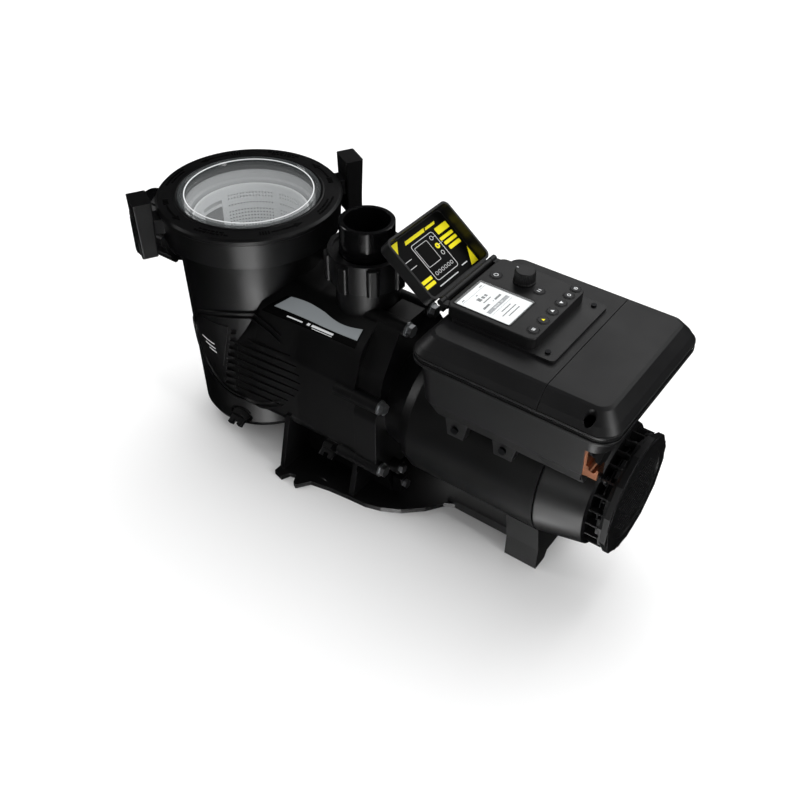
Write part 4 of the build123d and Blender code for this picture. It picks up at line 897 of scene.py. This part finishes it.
class PUMP_OT_drive_beads(PumpPiece, bpy.types.Operator):
    """Two rounded beads round the drive box, one on each side of its parting line"""
    bl_idname = "pump.drive_beads"
    bl_label = "Drive box beads"

    def execute(self, context):
        low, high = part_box("drive_lid")
        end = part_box("wiring_cover")[1]
        sunk, corner_radius = 0.3 * MM, 24.5 * MM
        for number, (bottom, height, proud) in enumerate(((0.3, 4.2, 1.1), (-8.2, 4.6, 1.5)), start=1):
            under = low[2] + bottom * MM
            bead = box_piece(
                (low[0] + sunk, low[1] + sunk, under), (end[0] - sunk, high[1] - sunk, under + height * MM))
            corners = bead.data.vertices

            def upright(edge):
                first, second = (corners[at].co for at in edge.vertices)
                return abs(first.z - second.z) > 0.5 * height * MM

            select_where(bead, "EDGE", upright)
            bpy.ops.mesh.bevel(offset=corner_radius, segments=14)
            select_where(bead, "FACE", lambda face: abs(face.normal.z) > 0.5)
            bpy.ops.mesh.delete(type="FACE")
            bpy.ops.object.mode_set(mode="OBJECT")
            thicken(bead, proud * MM, 1, 0.7 * MM, 3)
            settle(bead, f"drive_bead_{number}", "drive", "pump", 40)
        return {"FINISHED"}


class PUMP_OT_hinge_block(PumpPiece, bpy.types.Operator):
    """Block under the hinge pin that closes the gap in front of the controller"""
    bl_idname = "pump.hinge_block"
    bl_label = "Hinge block"

    def execute(self, context):
        front, back = HINGE[0] - 0.0035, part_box("controller_housing")[0][0] + 0.006
        bottom, top = HINGE[2] - 0.0155, HINGE[2] - 0.0048
        half = 0.056
        block = box_piece((front, -half, bottom), (back, half, top))
        select_where(block, "FACE", lambda face: face.normal.z > 0.5)
        bpy.ops.mesh.bevel(offset=0.0022, segments=4)
        bpy.ops.object.mode_set(mode="OBJECT")
        settle(block, "hinge_block", "control", "pump")
        return {"FINISHED"}


class PUMP_OT_cover_label(PumpPiece, bpy.types.Operator):
    """Guide label inside the flip cover: an outline of the controller and plain callout bars"""
    bl_idname = "pump.cover_label"
    bl_label = "Flip cover label"

    def execute(self, context):
        inside = 0.0204
        film = flat_shape([rounded(0, 0, 117, 82, 6)], 0.0003, cover_place(inside))
        settle(film, "cover_label_film", "black_print_and_painted_shade", "flip_cover")

        def millimetres(*points):
            return [(x * MM, y * MM) for x, y in points]

        yellow = [
            millimetres((-56, 39.5), (-56, 13), (-32, 39.5)), millimetres((57, -39.5), (57, -17), (42, -39.5)),
            bar(-4, 31.5, 40, 4.6, 1.4), bar(28.5, 31.5, 20, 3.4, 1.2),
            rounded(43, 20.5, 25, 9.4, 1.4), rounded(41, 9.6, 27, 4.6, 1.4), rounded(42, 2.4, 26, 4.6, 1.4),
            rounded(43, -5.2, 24, 5.4, 1.4), rounded(-36, -20, 22, 4.8, 1.4), rounded(-36, -27, 22, 4.8, 1.4),
            loop(17.0, 6, 3.8), loop(17.0, 6, 1.4),
        ]
        white = [
            rounded(2, -2, 46, 54, 4), rounded(2, -2, 44.4, 52.4, 3.2),
            rounded(-5, 5, 26, 30, 2), rounded(-5, 5, 24.8, 28.8, 1.6),
            loop(17, 18, 3.0), loop(17, 18, 2.3), loop(17, -4.5, 3.0), loop(17, -4.5, 2.3),
            bar(-4, -35.5, 40, 1.4), bar(34, -32, 12, 1.4), bar(-40, 12, 16, 0.7), bar(-40, 2, 16, 0.7),
            bar(22.6, 17.6, 6.0, 0.5), bar(22.6, 6.4, 12, 0.5), bar(-28, -18, 8, 0.5),
        ]
        for number in range(6):
            white += [loop(-14 + 6.4 * number, -20.5, 2.5, 20), loop(-14 + 6.4 * number, -20.5, 1.9, 20)]
        place = cover_place(inside - 0.0003)
        shapes = flat_shape(yellow, 0.0001, place)
        settle(shapes, "cover_label_yellow", "yellow", "flip_cover")
        shapes = flat_shape(white, 0.0001, place)
        settle(shapes, "cover_label_white", "white", "flip_cover")
        return {"FINISHED"}


CAMERA_PLACE = (0.65895, -0.85215, 1.04160)
CAMERA_ANGLES = (35.33, 41.16, 0.76)   # degrees round the pump, above the floor and of roll
CAMERA_LENS_MM = 43.71
SKY_STRENGTH = 0.47
SUN_STRENGTH, SUN_WIDTH, SUN_FROM = 1.95, 66, (-0.42, 0.42, 1.0)   # a wide sun leaves one broad soft shadow
# lit cards below the floor, seen only in reflections: name, place, aim, width, height and strength
CARDS = (
    ("pot_card", (0.52, -1.02, -1.0), (-0.05, -0.1, 0.2), 0.17, 1.5, 6.0),
    ("handle_card", (0.5, -1.42, -1.0), (-0.33, 0, 0.3), 0.3, 0.5, 11.0),
    ("pipe_card", (0.98, -1.32, -1.0), (0, 0, 0.4), 0.2, 1.0, 15.0),
    ("side_card", (-0.5, -1.3, -1.0), (0.2, 0, 0.3), 0.9, 0.5, 0.35),
)
# area lights: name, place, aim, width, height and watts
SOFTBOXES = (
    ("top_softbox", (0.3, 2.2, 2.1), (0.1, 0, 0.3), 3.4, 1.5, 22),
    ("side_softbox", (-2.4, -0.9, 1.3), (-0.1, 0, 0.2), 0.5, 1.8, 12),
    ("front_strip", (0.9, -2.3, 0.5), (0.1, 0, 0.1), 2.2, 0.35, 7),
    ("end_softbox", (2.6, -0.2, 1.5), (0.3, 0, 0.2), 0.7, 1.6, 30),
)


class PUMP_OT_stage(PumpPiece, bpy.types.Operator):
    """Pale floor, soft studio light and the camera"""
    bl_idname = "pump.stage"
    bl_label = "Stage"

    def execute(self, context):
        scene = context.scene
        scene.view_settings.view_transform = "Standard"
        bpy.ops.mesh.primitive_plane_add(size=60, location=(0, 0, 0))
        floor = context.object
        floor.name = "studio_floor"
        paper = blank_material("studio_paper")
        shader = add_node(
            paper, "ShaderNodeBsdfPrincipled",
            [("Base Color", (*linear("f7f7f7"), 1)), ("Roughness", 0.9), ("Specular IOR Level", 0.0)])
        finish_output(paper, shader)
        floor.data.materials.append(paper)
        floor.visible_glossy = False
        world = bpy.data.worlds.new("studio")
        scene.world = world
        world.use_nodes = True
        sky = world.node_tree.nodes["Background"]
        sky.inputs["Color"].default_value = (*linear("ffffff"), 1)
        sky.inputs["Strength"].default_value = SKY_STRENGTH
        world.cycles_visibility.glossy = False
        lamp = bpy.data.lights.new("overhead", "SUN")
        lamp.energy = SUN_STRENGTH
        lamp.angle = math.radians(SUN_WIDTH)
        sun = bpy.data.objects.new("overhead", lamp)
        sun.rotation_euler = Vector(SUN_FROM).to_track_quat("Z", "Y").to_euler()
        sun.visible_glossy = False
        scene.collection.objects.link(sun)
        glow = blank_material("studio_card")
        finish_output(glow, add_node(glow, "ShaderNodeEmission", [("Strength", 1.0)]))
        for name, place, aim, width, height, gain in CARDS:
            bpy.ops.mesh.primitive_plane_add(size=1, location=place)
            card = context.object
            card.name = name
            card.scale = (width, height, 1)
            card.rotation_euler = (0, 0, math.atan2(place[1] - aim[1], place[0] - aim[0]) - math.pi / 2)
            skin = glow.copy()
            skin.node_tree.nodes["Emission"].inputs["Strength"].default_value = gain
            skin.cycles.emission_sampling = "NONE"   # found by reflected rays only, so it adds no noise
            card.data.materials.append(skin)
            card.visible_camera = card.visible_diffuse = card.visible_shadow = False
        for name, place, aim, width, height, power in SOFTBOXES:
            light = bpy.data.lights.new(name, "AREA")
            light.shape = "RECTANGLE"
            light.size = width
            light.size_y = height
            light.energy = power
            holder = bpy.data.objects.new(name, light)
            holder.location = place
            holder.rotation_euler = (Vector(place) - Vector(aim)).to_track_quat("Z", "Y").to_euler()
            scene.collection.objects.link(holder)
        lens = bpy.data.cameras.new("camera")
        lens.lens = CAMERA_LENS_MM
        lens.sensor_width = 36
        camera = bpy.data.objects.new("camera", lens)
        azimuth, elevation, roll = (math.radians(value) for value in CAMERA_ANGLES)
        camera.matrix_world = (
            Matrix.Translation(CAMERA_PLACE) @ Matrix.Rotation(azimuth, 4, "Z")
            @ Matrix.Rotation(math.pi / 2 - elevation, 4, "X") @ Matrix.Rotation(roll, 4, "Z"))
        scene.collection.objects.link(camera)
        scene.camera = camera
        return {"FINISHED"}


class PUMP_PT_panel(bpy.types.Panel):
    """Sidebar list of the pump's pieces, sizes and colours"""
    bl_idname = "PUMP_PT_panel"
    bl_label = "Pool pump"
    bl_space_type = "VIEW_3D"
    bl_region_type = "UI"
    bl_category = "Pool pump"

    def draw(self, context):
        for group in (context.scene.pump_sizes, context.scene.pump_colours):
            for name in group.__annotations__:
                self.layout.prop(group, name)
        for piece in PIECES:
            self.layout.operator(piece.bl_idname)


PIECES = (
    PUMP_OT_finishes, PUMP_OT_basket, PUMP_OT_lens_skirt, PUMP_OT_ring_marks, PUMP_OT_badges, PUMP_OT_side_label,
    PUMP_OT_knob, PUMP_OT_display, PUMP_OT_drive_beads, PUMP_OT_hinge_block, PUMP_OT_key_icons,
    PUMP_OT_cover_label, PUMP_OT_stage,
)
CLASSES = (PumpColours, PumpSizes, *PIECES, PUMP_PT_panel)


def register():
    for kind in CLASSES:
        bpy.utils.register_class(kind)
    bpy.types.Scene.pump_colours = PointerProperty(type=PumpColours)
    bpy.types.Scene.pump_sizes = PointerProperty(type=PumpSizes)


def unregister():
    del bpy.types.Scene.pump_sizes
    del bpy.types.Scene.pump_colours
    for kind in reversed(CLASSES):
        bpy.utils.unregister_class(kind)


def main():
    register()
    bpy.ops.pump.finishes()
    bpy.ops.pump.stage()
    bpy.ops.pump.basket()
    bpy.ops.pump.lens_skirt()
    bpy.ops.pump.ring_marks()
    bpy.ops.pump.badges()
    bpy.ops.pump.side_label()
    bpy.ops.pump.knob()
    bpy.ops.pump.display()
    bpy.ops.pump.drive_beads()
    bpy.ops.pump.hinge_block()
    bpy.ops.pump.key_icons()
    bpy.ops.pump.cover_label()


if __name__ == "__main__":
    main()
